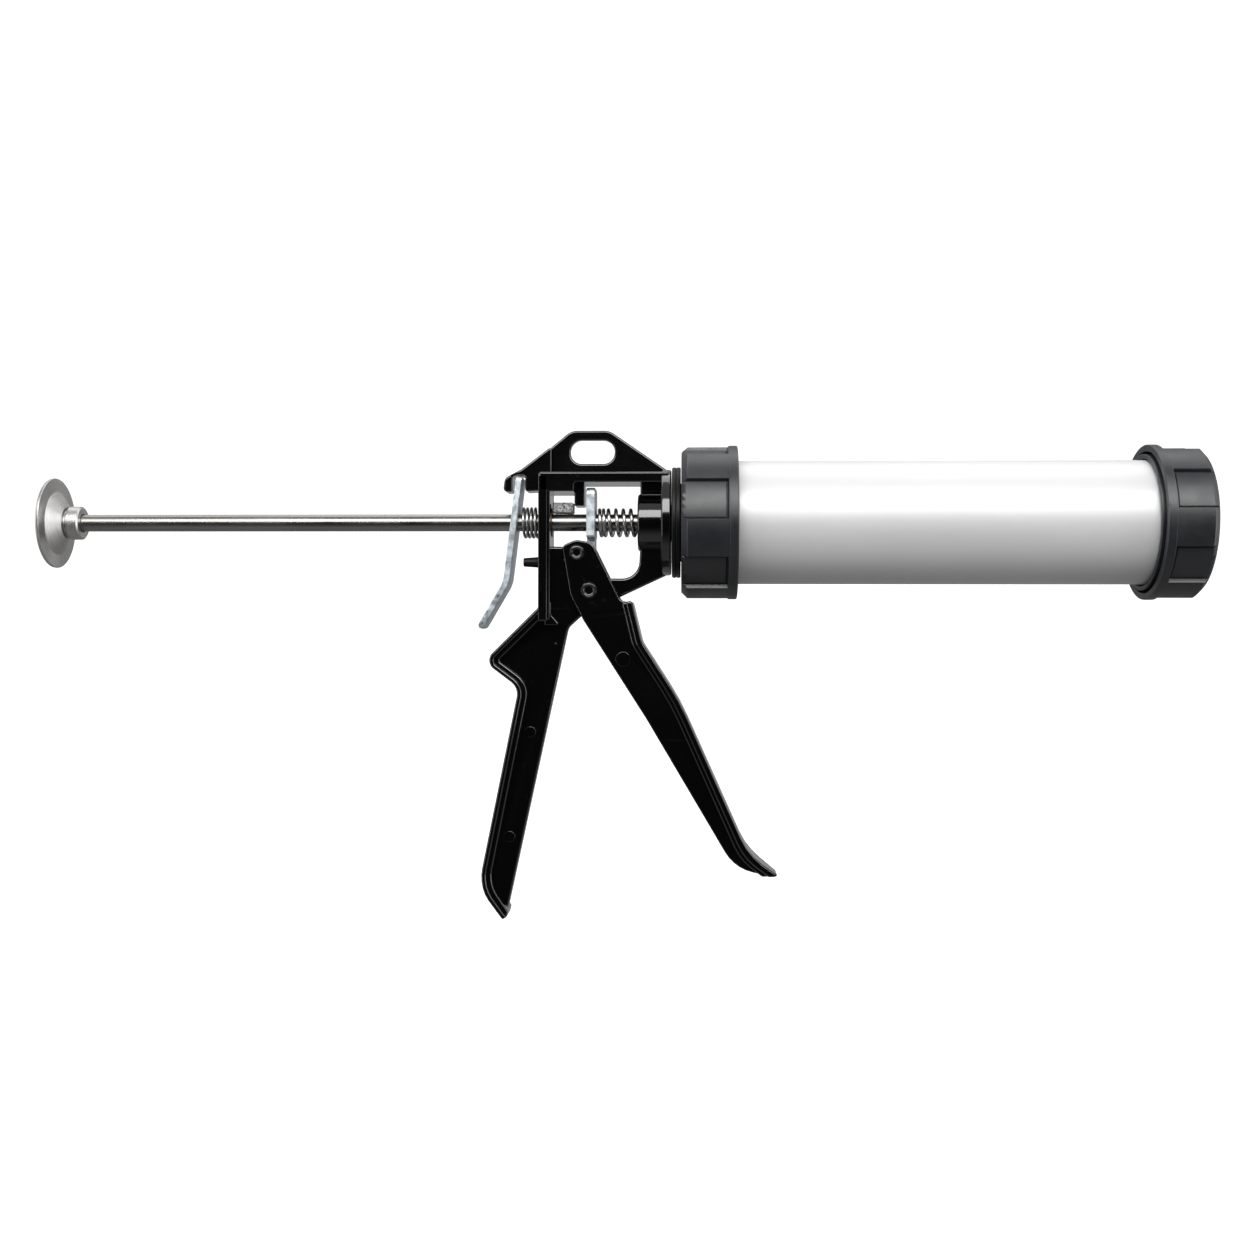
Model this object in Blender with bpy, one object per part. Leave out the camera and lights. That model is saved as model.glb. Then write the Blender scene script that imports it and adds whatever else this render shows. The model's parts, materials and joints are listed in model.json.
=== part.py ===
"""Sausage-and-cartridge caulking gun, built as separate pieces around its push rod.

Every size below is in millimetres and is turned into metres when a mesh is made.
The working frame has X = 0 at the middle of the hang slot and Z = 0 on the rod's
axis, with +X towards the barrel's front and Y = 0 on the gun's middle plane. One
empty, "datum", lowers that frame so that the world's origin is the slot's centre.
"""

import math

import bmesh
import bpy
from mathutils import Matrix, Vector

MM = 0.001

# Fits shared by all pieces
GAP = 0.3                   # between pieces that touch
RUN = 0.35                  # radial room around a shaft that runs in a hole
SINK = 1.5                  # how deep a web's edge sits inside the flange along it
SEGMENTS = 48               # facets around a large round piece
FINE_SEGMENTS = 24          # facets around a small round piece

# Frame casting
SLOT_ABOVE_ROD = 31.0       # hang slot's centre above the rod's axis
SLOT_LENGTH = 19.4
SLOT_HEIGHT = 10.4
SLOT_RIM = 4.2              # metal above the hang slot
CASTING_WIDTH = 24.0        # beam, post and handle flange, along Y
WEB_THICKNESS = 6.0
HANGER_THICKNESS = 5.0
NOSE_THICKNESS = 12.0
POST_REAR = -23.0
POST_THICKNESS = 4.5
POST_FOOT = -43.5           # where the post ends on the handle's side
BEAM_TOP = 21.3
BEAM_UNDER = 16.9           # underside over the drive plate
BEAM_UNDER_REAR = 12.9      # underside over the rear window
LUG_REAR = -7.7
LUG_THICKNESS = 4.4
LUG_FOOT = 7.0
WALL_REAR = 20.0            # front wall of the windows
BOSS_RADIUS = 12.5
FLANGE_RADIUS = 23.2
FLANGE_THICKNESS = 4.1
FLANGE_FRONT = 34.6
WINDOW_FLOOR = -24.5
HANDLE_FLANGE = 3.7         # thickness of the handle's rear flange
HANDLE_DROP = 174.6         # handle's tip below the rod's axis
HANDLE_RAKE = 0.2           # rearward lean of the handle per unit of drop

# Lever slot in the casting's nose
NOSE_SLOT_WIDTH = 5.6
NOSE_SLOT_ROOF = 20.3

# Push rod, pull knob and piston
ROD_RADIUS = 3.75
KNOB_FRONT = -227.8         # front face of the knob's collar
COLLAR_RADIUS = 7.4
COLLAR_LENGTH = 5.8
KNOB_RADIUS = 20.0
KNOB_EDGE = 1.8             # thickness of the disc's edge
KNOB_FLAT = 3.0             # flat ring outside the cone
KNOB_CONE = 5.8             # length of the cone
STROKE = 188.0              # push rod's travel
PISTON_PLATE = 2.4
PISTON_PLATE_RADIUS = 22.0
SEAL_LENGTH = 8.0
SEAL_LIP = 2.2
NUT_LENGTH = 5.0
NUT_FLATS = 13.0
ROD_END_PAST_NUT = 1.6

# Trigger, its pins and the drive plate
PIVOT_X = -1.1
PIVOT_Z = -30.0
PIVOT_BOSS = 7.0
PUSH_PIN_X = -6.4
PUSH_PIN_Z = -13.6
PIN_RADIUS = 2.2
RIVET_RADIUS = 2.6
PIN_HEAD = 3.6
RIVET_HEAD = 3.8
HEAD_HEIGHT = 1.4
ROLLER_RADIUS = 3.5
CHEEK_THICKNESS = 3.2
CHEEK_GAP = 9.6             # room between the trigger's two cheeks
TRIGGER_FLANGE = 3.3
TRIGGER_DROP = 154.0        # trigger's tip below the rod's axis
PLATE_THICKNESS = 3.8
PLATE_WIDTH = 18.0
PLATE_TONGUE = 8.4          # width where the plate enters the trigger
PLATE_TOP = 14.9
PLATE_SHOULDER = -6.9       # where the plate narrows, above the trigger's head
PLATE_FOOT = -16.3

# Catch lever and its stop
LEVER_THICKNESS = 2.8
LEVER_WIDTH = 16.0
LEVER_TOP_X = -31.7
LEVER_TOP_Z = 19.6
LEVER_LEAN = 0.1224         # rearward lean of the straight part per unit of drop
LEVER_BEND_Z = -26.5
LEVER_TIP_X = -49.0
LEVER_TIP_Z = -46.6
PEG_TIP = -30.5
PEG_Z = -17.4
PEG_RADIUS = 2.4
SHOE_TOP = 8.7
SHOE_WIDTH = 9.0
BUSH_RADIUS = 6.2

# Springs
DRIVE_WIRE = 1.6
DRIVE_COIL = 13.0
CATCH_WIRE = 1.2
CATCH_COIL = 14.0

# Barrel tube, caps and seals
TUBE_RADIUS = 26.9
TUBE_WALL = 1.4
TUBE_LENGTH = 211.6
CAP_RADIUS = TUBE_RADIUS + 6.3
CAP_RIM = 0.4               # how far the rim stands out
CAP_RIM_LENGTH = 4.4
CAP_CHAMFER = 2.6
CAP_WALL = 3.0              # end wall
CAP_SHELL = 1.0             # outer shell, measured under the recesses
CAP_SLEEVE = 1.9            # threaded sleeve around the tube
CAP_CAVITY = 8.0            # depth at which the ring-shaped cavity ends
REAR_CAP_LIP = -0.3         # how far the sleeve stands out of the rim
FRONT_CAP_LIP = 1.3
THREAD_ROOM = 0.7           # radial room that the thread takes
THREAD_PITCH = 4.0
REAR_CAP_LENGTH = 24.3
FRONT_CAP_LENGTH = 22.0
GRIP_RECESSES = 6
GRIP_DEPTH = 1.6
GRIP_SPAN = math.radians(31.4)
REAR_GRIP_PHASE = math.radians(14.2)
FRONT_GRIP_PHASE = math.radians(22.6)
HUB_DISC_RADIUS = 24.2
HUB_DISC_LENGTH = 3.8
HUB_SPIGOT = 17.0           # spigot that the rear cap spins on
HUB_SHANK = 8.0             # shank pressed into the casting
RETAINER_RADIUS = 21.0
RETAINER_LENGTH = 1.5
RETAINER_GROOVE = 1.2
GASKET_LENGTH = 1.5
FRONT_SEAL_LENGTH = 2.0
NOZZLE_RADIUS = 11.0

# Places that follow from the sizes above
HALF_WIDTH = CASTING_WIDTH / 2
POST_FRONT = POST_REAR + POST_THICKNESS
LUG_FRONT = LUG_REAR + LUG_THICKNESS
SHOE_FRONT = LUG_REAR - GAP
ROD_HOLE = ROD_RADIUS + RUN
HUB_DISC_REAR = FLANGE_FRONT + GAP
HUB_DISC_FRONT = HUB_DISC_REAR + HUB_DISC_LENGTH
REAR_CAP_REAR = HUB_DISC_FRONT + GAP
REAR_CAP_FLOOR = REAR_CAP_REAR + CAP_WALL
GASKET_REAR = REAR_CAP_FLOOR + GAP
RETAINER_REAR = REAR_CAP_FLOOR + GAP
HUB_FRONT = RETAINER_REAR + RETAINER_LENGTH + GAP + 1.0
TUBE_REAR = GASKET_REAR + GASKET_LENGTH + GAP
TUBE_FRONT = TUBE_REAR + TUBE_LENGTH
TUBE_BORE = TUBE_RADIUS - TUBE_WALL
FRONT_SEAL_REAR = TUBE_FRONT + GAP
FRONT_CAP_FLOOR = FRONT_SEAL_REAR + FRONT_SEAL_LENGTH + GAP
FRONT_CAP_FRONT = FRONT_CAP_FLOOR + CAP_WALL
PISTON_REAR = HUB_FRONT + 2.0
SEAL_REAR = PISTON_REAR + PISTON_PLATE + GAP
PISTON_FRONT_PLATE = SEAL_REAR + SEAL_LENGTH + GAP
NUT_REAR = PISTON_FRONT_PLATE + PISTON_PLATE + GAP
ROD_FRONT = NUT_REAR + NUT_LENGTH + ROD_END_PAST_NUT
COLLAR_REAR = KNOB_FRONT - COLLAR_LENGTH
KNOB_CONE_FRONT = COLLAR_REAR - GAP
PLATE_REAR = PUSH_PIN_X + ROLLER_RADIUS + 0.6
PLATE_FRONT = PLATE_REAR + PLATE_THICKNESS
CHEEK_OUTER = CHEEK_GAP / 2 + CHEEK_THICKNESS


def clear_scene():
    """Remove whatever the file holds before the gun is built."""
    for leftover in list(bpy.data.objects):
        bpy.data.objects.remove(leftover, do_unlink=True)


def make_material(name, colour, roughness, metallic):
    """Plain Principled material with one colour, roughness and metallic value."""
    material = bpy.data.materials.new(name)
    material.use_nodes = True
    shader = material.node_tree.nodes["Principled BSDF"]
    shader.inputs["Base Color"].default_value = (*colour, 1.0)
    shader.inputs["Roughness"].default_value = roughness
    shader.inputs["Metallic"].default_value = metallic
    material.diffuse_color = (*colour, 1.0)
    return material


FINISHES = {
    "black_paint": ((0.012, 0.012, 0.013), 0.22, 0.0),
    "hub_steel": ((0.04, 0.042, 0.045), 0.5, 0.2),
    "cap_plastic": ((0.055, 0.06, 0.068), 0.45, 0.0),
    "tube_aluminium": ((0.78, 0.78, 0.77), 0.38, 1.0),
    "rod_steel": ((0.62, 0.6, 0.57), 0.24, 1.0),
    "knob_steel": ((0.72, 0.72, 0.71), 0.18, 1.0),
    "zinc_plate": ((0.72, 0.76, 0.78), 0.3, 1.0),
    "spring_wire": ((0.7, 0.71, 0.72), 0.2, 1.0),
    "rough_metal": ((0.33, 0.34, 0.35), 0.6, 0.9),
    "bush_bronze": ((0.42, 0.3, 0.17), 0.42, 1.0),
    "seal_rubber": ((0.03, 0.03, 0.032), 0.7, 0.0),
    "piston_steel": ((0.66, 0.67, 0.68), 0.3, 1.0),
}


def finish(name):
    """The named finish's material, made once and shared."""
    existing = bpy.data.materials.get(name)
    return existing or make_material(name, *FINISHES[name])


def rounded(corners, step=math.radians(15)):
    """Outline through (x, z, radius) corners, with an arc in place of each corner."""
    points = []
    count = len(corners)
    for index, (x, z, radius) in enumerate(corners):
        corner = Vector((x, z))
        before = Vector(corners[index - 1][:2]) - corner
        after = Vector(corners[(index + 1) % count][:2]) - corner
        opening = before.angle(after)
        if radius <= 0.0 or opening > math.radians(179):
            points.append(corner)
            continue
        reach = min(radius / math.tan(opening / 2), 0.49 * before.length, 0.49 * after.length)
        arc_radius = reach * math.tan(opening / 2)
        middle = (before.normalized() + after.normalized()).normalized()
        centre = corner + middle * (arc_radius / math.sin(opening / 2))
        start = corner + before.normalized() * reach - centre
        end = corner + after.normalized() * reach - centre
        turn = math.atan2(start.x * end.y - start.y * end.x, start.dot(end))
        steps = max(2, math.ceil(abs(turn) / step))
        for number in range(steps + 1):
            spin = turn * number / steps
            points.append(centre + Matrix.Rotation(spin, 2) @ start)
    return [(point.x, point.y) for point in points]


def open_path(corners):
    """Rounded path through the corners that isn't closed."""
    first, last = corners[0], corners[-1]
    ends_held = [(first[0], first[1], 0.0), *corners[1:-1], (last[0], last[1], 0.0)]
    return rounded(ends_held)


def strip(path, thickness):
    """Closed band along an open path, to its right, or to its left if negative."""
    inner = []
    for index, point in enumerate(path):
        here = Vector(point)
        back = here - Vector(path[index - 1]) if index else None
        ahead = Vector(path[index + 1]) - here if index + 1 < len(path) else None
        sides = [edge.normalized() for edge in (back, ahead) if edge is not None]
        along = sum(sides, Vector((0.0, 0.0))).normalized()
        stretch = along.dot(sides[0])
        inner.append(tuple(here + Vector((along.y, -along.x)) * thickness / stretch))
    return list(path) + inner[::-1]


def mesh_object(name, build, material_name):
    """Object made of the bmesh's faces, with their normals pointing out."""
    bmesh.ops.recalc_face_normals(build, faces=build.faces)
    mesh = bpy.data.meshes.new(name)
    build.to_mesh(mesh)
    build.free()
    piece = bpy.data.objects.new(name, mesh)
    bpy.context.scene.collection.objects.link(piece)
    mesh.materials.append(finish(material_name))
    return piece


def slab(name, outline, low, high, material_name="black_paint"):
    """Outline in the XZ plane, made solid from Y = low to Y = high."""
    build = bmesh.new()
    near = [build.verts.new((x * MM, low * MM, z * MM)) for x, z in outline]
    floor = build.faces.new(near)
    lifted = bmesh.ops.extrude_face_region(build, geom=[floor])["geom"]
    raised = [item for item in lifted if isinstance(item, bmesh.types.BMVert)]
    bmesh.ops.translate(build, verts=raised, vec=(0.0, (high - low) * MM, 0.0))
    return mesh_object(name, build, material_name)


def centred_slab(name, outline, thickness, material_name="black_paint"):
    """Slab with its thickness shared evenly on both sides of the middle plane."""
    return slab(name, outline, -thickness / 2, thickness / 2, material_name)


def box(x_low, x_high, z_low, z_high):
    """Rectangular outline in the XZ plane."""
    return [(x_low, z_low), (x_high, z_low), (x_high, z_high), (x_low, z_high)]


def turned(name, profile, material_name, segments=SEGMENTS, across=None):
    """Closed (place, radius) profile turned about X, or about Y through across."""
    build = bmesh.new()
    rings = []
    for place, radius in profile:
        if radius <= 0.0:
            centre = build.verts.new(round_point(place, 0.0, 0.0, across))
            rings.append([centre] * segments)
            continue
        angles = [math.tau * number / segments for number in range(segments)]
        rings.append([build.verts.new(round_point(place, radius, turn, across)) for turn in angles])
    for index, ring in enumerate(rings):
        following = rings[(index + 1) % len(rings)]
        for number in range(segments):
            beside = (number + 1) % segments
            loop = [ring[number], ring[beside], following[beside], following[number]]
            corners = list(dict.fromkeys(loop))
            if len(corners) > 2:
                build.faces.new(corners)
    return mesh_object(name, build, material_name)


def round_point(place, radius, turn, across):
    """Point at a turn about the X axis, or about a Y axis through across = (x, z)."""
    side, rise = radius * math.cos(turn), radius * math.sin(turn)
    if across is None:
        return Vector((place, side, rise)) * MM
    return Vector((across[0] + side, place, across[1] + rise)) * MM


def drum(start, end, radius):
    """Profile of a solid cylinder."""
    return [(start, 0.0), (start, radius), (end, radius), (end, 0.0)]


def ring(start, end, inner, outer):
    """Profile of a cylinder with a bore."""
    return [(start, inner), (start, outer), (end, outer), (end, inner)]


def combine(target, tool, operation):
    """Cut the tool from the target, or fuse the two, and drop the tool."""
    step = target.modifiers.new(operation.lower(), "BOOLEAN")
    step.operation = operation
    step.solver = "EXACT"
    step.object = tool
    bpy.context.view_layer.update()
    shaped = target.evaluated_get(bpy.context.evaluated_depsgraph_get())
    result = bpy.data.meshes.new_from_object(shaped)
    result.name = target.name
    target.modifiers.clear()
    target.data = result
    bpy.data.objects.remove(tool, do_unlink=True)
    merge_close_points(target.data)
    return target


def merge_close_points(mesh):
    """Weld the nearly equal points that a Boolean leaves along its seams."""
    build = bmesh.new()
    build.from_mesh(mesh)
    bmesh.ops.remove_doubles(build, verts=build.verts, dist=0.002 * MM)
    bmesh.ops.dissolve_degenerate(build, edges=build.edges, dist=0.001 * MM)
    build.to_mesh(mesh)
    build.free()


def fuse(target, *tools):
    """Join overlapping shapes into one solid."""
    for tool in tools:
        combine(target, tool, "UNION")
    return target


def cut(target, *tools):
    """Take shapes out of a solid."""
    for tool in tools:
        combine(target, tool, "DIFFERENCE")
    return target


def cutter(profile, segments=FINE_SEGMENTS, across=None):
    """Round cutting shape."""
    return turned("cutter", profile, "black_paint", segments, across)


def stand(piece, parent, pivot=(0.0, 0.0, 0.0)):
    """Put the piece's origin on its pivot, shade it and hang it from its parent."""
    piece.data.transform(Matrix.Translation(-Vector(pivot) * MM))
    piece.location = Vector(pivot) * MM
    piece.parent = parent
    piece.data.shade_smooth()
    piece.data.set_sharp_from_angle(angle=math.radians(35))
    return piece


def handle_rear_path():
    """Rear edge of the post's foot, palm nose and handle, from top to tip."""
    palm_z = -72.3
    palm_x = -31.4
    heel_z = 16.4 - HANDLE_DROP
    heel_x = palm_x + HANDLE_RAKE * (heel_z - palm_z)
    tip_x = heel_x + 10.0
    return [
        (POST_REAR + GAP, POST_FOOT + 14.0, 0.0),
        (POST_REAR + GAP, POST_FOOT + 6.3, 3.0),
        (POST_REAR - 23.6, -60.9, 4.6),
        (palm_x, palm_z, 6.5),
        (heel_x, heel_z, 19.0),
        (tip_x, 0.6 - HANDLE_DROP, 0.0),
    ]


def handle_front_edge():
    """Lower and upper end of the handle's straight front edge."""
    tip_x = handle_rear_path()[-1][0]
    return Vector((tip_x + 1.2, 2.2 - HANDLE_DROP)), Vector((-10.4, -46.2))


def web_outline():
    """Side view of the casting's middle web: handle, pivot plate, arm and front wall."""
    rear = [(x + SINK, z, radius) for x, z, radius in handle_rear_path()]
    tip, neck = handle_front_edge()
    wall_rear, wall_front = WALL_REAR + GAP, FLANGE_FRONT - SINK
    pocket_rear = PUSH_PIN_X - ROLLER_RADIUS - 2.7
    pocket_floor = PUSH_PIN_Z - ROLLER_RADIUS - 2.4
    return rounded([
        *rear[1:-1],
        (*tip, 0.8),
        (*neck, 5.0),
        (-3.8, -40.2, 0.0),
        (wall_front, -22.9, 0.0),
        (wall_front, BEAM_TOP - SINK, 0.0),
        (wall_rear, BEAM_TOP - SINK, 0.0),
        (wall_rear, WINDOW_FLOOR, 10.5),
        (PIVOT_X + 3.6, WINDOW_FLOOR, 3.0),
        (PIVOT_X + 0.6, pocket_floor, 3.5),
        (pocket_rear, pocket_floor, 4.0),
        (pocket_rear, -10.5, 1.2),
        (POST_REAR + SINK, -10.5, 0.0),
        (POST_REAR + SINK, POST_FOOT + 10.0, 0.0),
    ])


def hanger_outline():
    """Side view of the hanger plate, from the rear nose to the front flange."""
    plate_top = SLOT_ABOVE_ROD + SLOT_HEIGHT / 2 + SLOT_RIM
    return rounded([
        (-24.0, 28.4, 0.0),
        (-9.4, plate_top, 7.0),
        (7.4, plate_top, 7.0),
        (FLANGE_FRONT - 0.8, 22.3, 1.0),
        (FLANGE_FRONT - 0.8, BEAM_TOP - SINK, 0.0),
        (-26.0, BEAM_TOP - SINK, 0.0),
    ])


def nose_outline():
    """Side view of the thick rear nose that the catch lever hooks into."""
    return rounded([
        (-39.1, 13.2, 3.9),
        (-38.3, 19.4, 3.4),
        (-31.0, 23.2, 6.0),
        (-17.7, 33.3, 0.0),
        (-17.7, BEAM_TOP - SINK, 0.0),
        (POST_REAR + SINK, 13.8, 0.0),
        (-34.0, 13.2, 0.0),
    ])


def handle_tip_trim():
    """Shape that trims the handle's flange along the web's front edge."""
    tip, neck = handle_front_edge()
    along = (neck - tip).normalized()
    across = Vector((along.y, -along.x))
    return [
        tuple(tip + along * up + across * aside)
        for up, aside in ((16.0, 0.3), (-8.0, 0.3), (-8.0, 14.0), (16.0, 14.0))
    ]


def build_frame_casting(datum):
    """Frame and handle, one casting with a thin web between wide flanges."""
    casting = centred_slab("frame_casting", web_outline(), WEB_THICKNESS)
    hanger = centred_slab("hanger", hanger_outline(), HANGER_THICKNESS)
    nose = centred_slab("nose", nose_outline(), NOSE_THICKNESS)
    beam = centred_slab("beam", rounded([
        (POST_REAR + GAP, BEAM_UNDER_REAR, 0.0),
        (LUG_REAR + GAP, BEAM_UNDER_REAR, 0.0),
        (LUG_REAR + GAP, BEAM_UNDER, 0.0),
        (WALL_REAR + 1.0, BEAM_UNDER, 0.0),
        (FLANGE_FRONT - 1.0, BEAM_UNDER, 0.0),
        (FLANGE_FRONT - 1.0, BEAM_TOP, 0.0),
        (POST_REAR + GAP, BEAM_TOP, 0.0),
    ]), CASTING_WIDTH)
    post = centred_slab("post", box(POST_REAR, POST_FRONT, POST_FOOT, BEAM_TOP - 0.5), CASTING_WIDTH)
    lug = centred_slab("lug", box(LUG_REAR, LUG_FRONT, LUG_FOOT, BEAM_TOP - 2.0), NOSE_THICKNESS)
    flange_band = strip(open_path(handle_rear_path()), -HANDLE_FLANGE)
    flange = centred_slab("flange", flange_band, CASTING_WIDTH)
    boss = cutter(drum(WALL_REAR, FLANGE_FRONT - 2.0, BOSS_RADIUS), SEGMENTS)
    disc = cutter(drum(FLANGE_FRONT - FLANGE_THICKNESS, FLANGE_FRONT, FLANGE_RADIUS), SEGMENTS)
    pivot = (PIVOT_X, PIVOT_Z)
    boss_half = CHEEK_GAP / 2 - GAP
    pivot_boss = cutter(drum(-boss_half, boss_half, PIVOT_BOSS), FINE_SEGMENTS, pivot)
    fuse(casting, post, beam, nose, hanger, lug, flange, boss, disc, pivot_boss)

    slot_half = SLOT_LENGTH / 2
    slot_edge = SLOT_HEIGHT / 2
    hang_slot = centred_slab("cutter", rounded([
        (-slot_half, SLOT_ABOVE_ROD - slot_edge, slot_edge * 0.98),
        (slot_half, SLOT_ABOVE_ROD - slot_edge, slot_edge * 0.98),
        (slot_half, SLOT_ABOVE_ROD + slot_edge, slot_edge * 0.98),
        (-slot_half, SLOT_ABOVE_ROD + slot_edge, slot_edge * 0.98),
    ]), 2 * CASTING_WIDTH)
    lever_slot = centred_slab("cutter", rounded([
        (LEVER_TOP_X - NOSE_SLOT_WIDTH / 2 - 0.4, 10.0, 0.0),
        (LEVER_TOP_X + NOSE_SLOT_WIDTH / 2 - 0.4, 10.0, 0.0),
        (LEVER_TOP_X + NOSE_SLOT_WIDTH / 2 - 0.4, NOSE_SLOT_ROOF, 1.2),
        (LEVER_TOP_X - NOSE_SLOT_WIDTH / 2 - 0.4, NOSE_SLOT_ROOF, 1.2),
    ]), 2 * CASTING_WIDTH)
    bush_hole = cutter(drum(POST_REAR - 1.0, POST_FRONT + 1.0, BUSH_RADIUS + GAP))
    shank_hole = cutter(drum(WALL_REAR - 1.0, FLANGE_FRONT + 1.0, HUB_SHANK + GAP))
    rivet_hole = cutter(drum(-HALF_WIDTH, HALF_WIDTH, RIVET_RADIUS + GAP), across=pivot)
    peg_hole = cutter(drum(POST_REAR - 1.0, POST_FRONT + 1.0, PEG_RADIUS + GAP))
    peg_hole.data.transform(Matrix.Translation((0.0, 0.0, PEG_Z * MM)))
    tip_trim = centred_slab("cutter", handle_tip_trim(), 2 * CASTING_WIDTH)
    cut(casting, hang_slot, lever_slot, bush_hole, shank_hole, rivet_hole, peg_hole, tip_trim)
    stand(casting, datum)


def build_frame_fittings(datum):
    """Steel and bronze pieces that stay fixed in the casting."""
    inner = ROD_HOLE
    groove_front = RETAINER_REAR + RETAINER_LENGTH + GAP
    hub = turned("barrel_hub", [
        (WALL_REAR + GAP, inner),
        (WALL_REAR + GAP, HUB_SHANK),
        (HUB_DISC_REAR, HUB_SHANK),
        (HUB_DISC_REAR, HUB_DISC_RADIUS),
        (HUB_DISC_FRONT, HUB_DISC_RADIUS),
        (HUB_DISC_FRONT, HUB_SPIGOT),
        (RETAINER_REAR - GAP, HUB_SPIGOT),
        (RETAINER_REAR - GAP, HUB_SPIGOT - RETAINER_GROOVE),
        (groove_front, HUB_SPIGOT - RETAINER_GROOVE),
        (groove_front, HUB_SPIGOT),
        (HUB_FRONT, HUB_SPIGOT),
        (HUB_FRONT, inner),
    ], "hub_steel")
    stand(hub, datum)

    groove = HUB_SPIGOT - RETAINER_GROOVE + GAP
    retainer = ring(RETAINER_REAR, RETAINER_REAR + RETAINER_LENGTH, groove, RETAINER_RADIUS)
    stand(turned("hub_retaining_ring", retainer, "spring_wire"), datum)

    bush = ring(POST_REAR + 0.2, POST_FRONT + 0.8, inner, BUSH_RADIUS)
    stand(turned("rod_bush", bush, "bush_bronze", FINE_SEGMENTS), datum)

    pivot = (PIVOT_X, PIVOT_Z)
    rivet = turned("pivot_rivet", headed_pin(RIVET_RADIUS, RIVET_HEAD), "black_paint", FINE_SEGMENTS, pivot)
    stand(rivet, datum, (PIVOT_X, 0.0, PIVOT_Z))

    peg = turned("lever_stop_peg", [
        (PEG_TIP, 0.0),
        (PEG_TIP, PEG_RADIUS - 0.4),
        (PEG_TIP + 0.4, PEG_RADIUS),
        (POST_FRONT - 0.5, PEG_RADIUS),
        (POST_FRONT - 0.5, 0.0),
    ], "rough_metal", FINE_SEGMENTS)
    peg.data.transform(Matrix.Translation((0.0, 0.0, PEG_Z * MM)))
    stand(peg, datum)

    shoe = centred_slab("rod_guide_shoe", rounded([
        (POST_FRONT + 0.8 + GAP, ROD_RADIUS + GAP, 0.0),
        (SHOE_FRONT - 0.4, ROD_RADIUS + GAP, 1.2),
        (SHOE_FRONT, SHOE_TOP, 2.0),
        (POST_FRONT + 0.8 + GAP, SHOE_TOP, 0.6),
    ]), SHOE_WIDTH, "rough_metal")
    stand(shoe, datum)


def headed_pin(shank, head):
    """Profile of a pin that spans the trigger's cheeks, with a head at each end."""
    seat = CHEEK_OUTER + GAP
    crown = seat + HEAD_HEIGHT
    return [
        (-crown, 0.0),
        (-crown, head - 0.5),
        (-crown + 0.5, head),
        (-seat, head),
        (-seat, shank),
        (seat, shank),
        (seat, head),
        (crown - 0.5, head),
        (crown, head - 0.5),
        (crown, 0.0),
    ]


def trigger_front_path():
    """Front edge of the trigger, from the flange's start down to the tip."""
    tip_z = 0.6 - TRIGGER_DROP
    knee_z = tip_z + 9.8
    waist_z = -77.6
    waist_x = 38.6
    knee_x = waist_x + (waist_z - knee_z) / 2.22
    return [
        (17.8, -34.3, 2.0),
        (22.2, -52.3, 8.0),
        (waist_x, waist_z, 110.0),
        (knee_x, knee_z, 22.0),
        (knee_x + 12.9, tip_z, 0.0),
    ]


def trigger_outline():
    """Side view of a trigger cheek: link-shaped head, then the tapering blade."""
    front = [(x - 0.9 * SINK, z - 0.4 * SINK, radius) for x, z, radius in trigger_front_path()]
    tip_x, tip_z = front[-1][:2]
    heel_z = 3.6 - TRIGGER_DROP
    heel_x = tip_x - 17.6
    return rounded([
        (PUSH_PIN_X - 6.6, PUSH_PIN_Z + 3.2, 2.5),
        (PUSH_PIN_X - 0.6, PUSH_PIN_Z + 5.8, 6.0),
        (PUSH_PIN_X + 6.6, PUSH_PIN_Z + 4.6, 5.0),
        (12.8, -34.5, 7.0),
        *front[:-1],
        (tip_x, tip_z, 0.6),
        (tip_x - 1.2, -TRIGGER_DROP, 0.6),
        (heel_x, heel_z, 36.0),
        (24.2, -86.2, 60.0),
        (-3.4, -43.2, 3.0),
        (PIVOT_X - 8.2, PIVOT_Z - 2.0, 5.0),
    ])


def build_trigger(datum):
    """Channel-shaped trigger: two cheeks closed by a wide front flange."""
    pivot = (PIVOT_X, PIVOT_Z)
    pin = (PUSH_PIN_X, PUSH_PIN_Z)
    inner = CHEEK_GAP / 2
    outline = trigger_outline()
    trigger = slab("trigger", outline, -CHEEK_OUTER, -inner)
    far_cheek = slab("far_cheek", outline, inner, CHEEK_OUTER)
    front_band = strip(open_path(trigger_front_path()), TRIGGER_FLANGE)
    flange = centred_slab("trigger_flange", front_band, CASTING_WIDTH)
    fuse(trigger, flange, far_cheek)
    rivet_hole = cutter(drum(-HALF_WIDTH, HALF_WIDTH, RIVET_RADIUS + RUN), across=pivot)
    pin_hole = cutter(drum(-HALF_WIDTH, HALF_WIDTH, PIN_RADIUS + GAP), across=pin)
    tip_x = trigger_front_path()[-1][0]
    tip_trim = centred_slab("cutter", box(
        tip_x - 12.0, tip_x + 8.0, -TRIGGER_DROP - 8.0, -TRIGGER_DROP - 0.1,
    ), 2 * CASTING_WIDTH)
    cut(trigger, rivet_hole, pin_hole, tip_trim)

    push_pin = turned("push_pin", headed_pin(PIN_RADIUS, PIN_HEAD), "black_paint", FINE_SEGMENTS, pin)
    roller_half = inner - GAP
    roller_profile = ring(-roller_half, roller_half, PIN_RADIUS + GAP, ROLLER_RADIUS)
    roller = turned("push_roller", roller_profile, "rod_steel", FINE_SEGMENTS, pin)
    for piece in (trigger, push_pin, roller):
        stand(piece, datum, (PIVOT_X, 0.0, PIVOT_Z))


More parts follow.
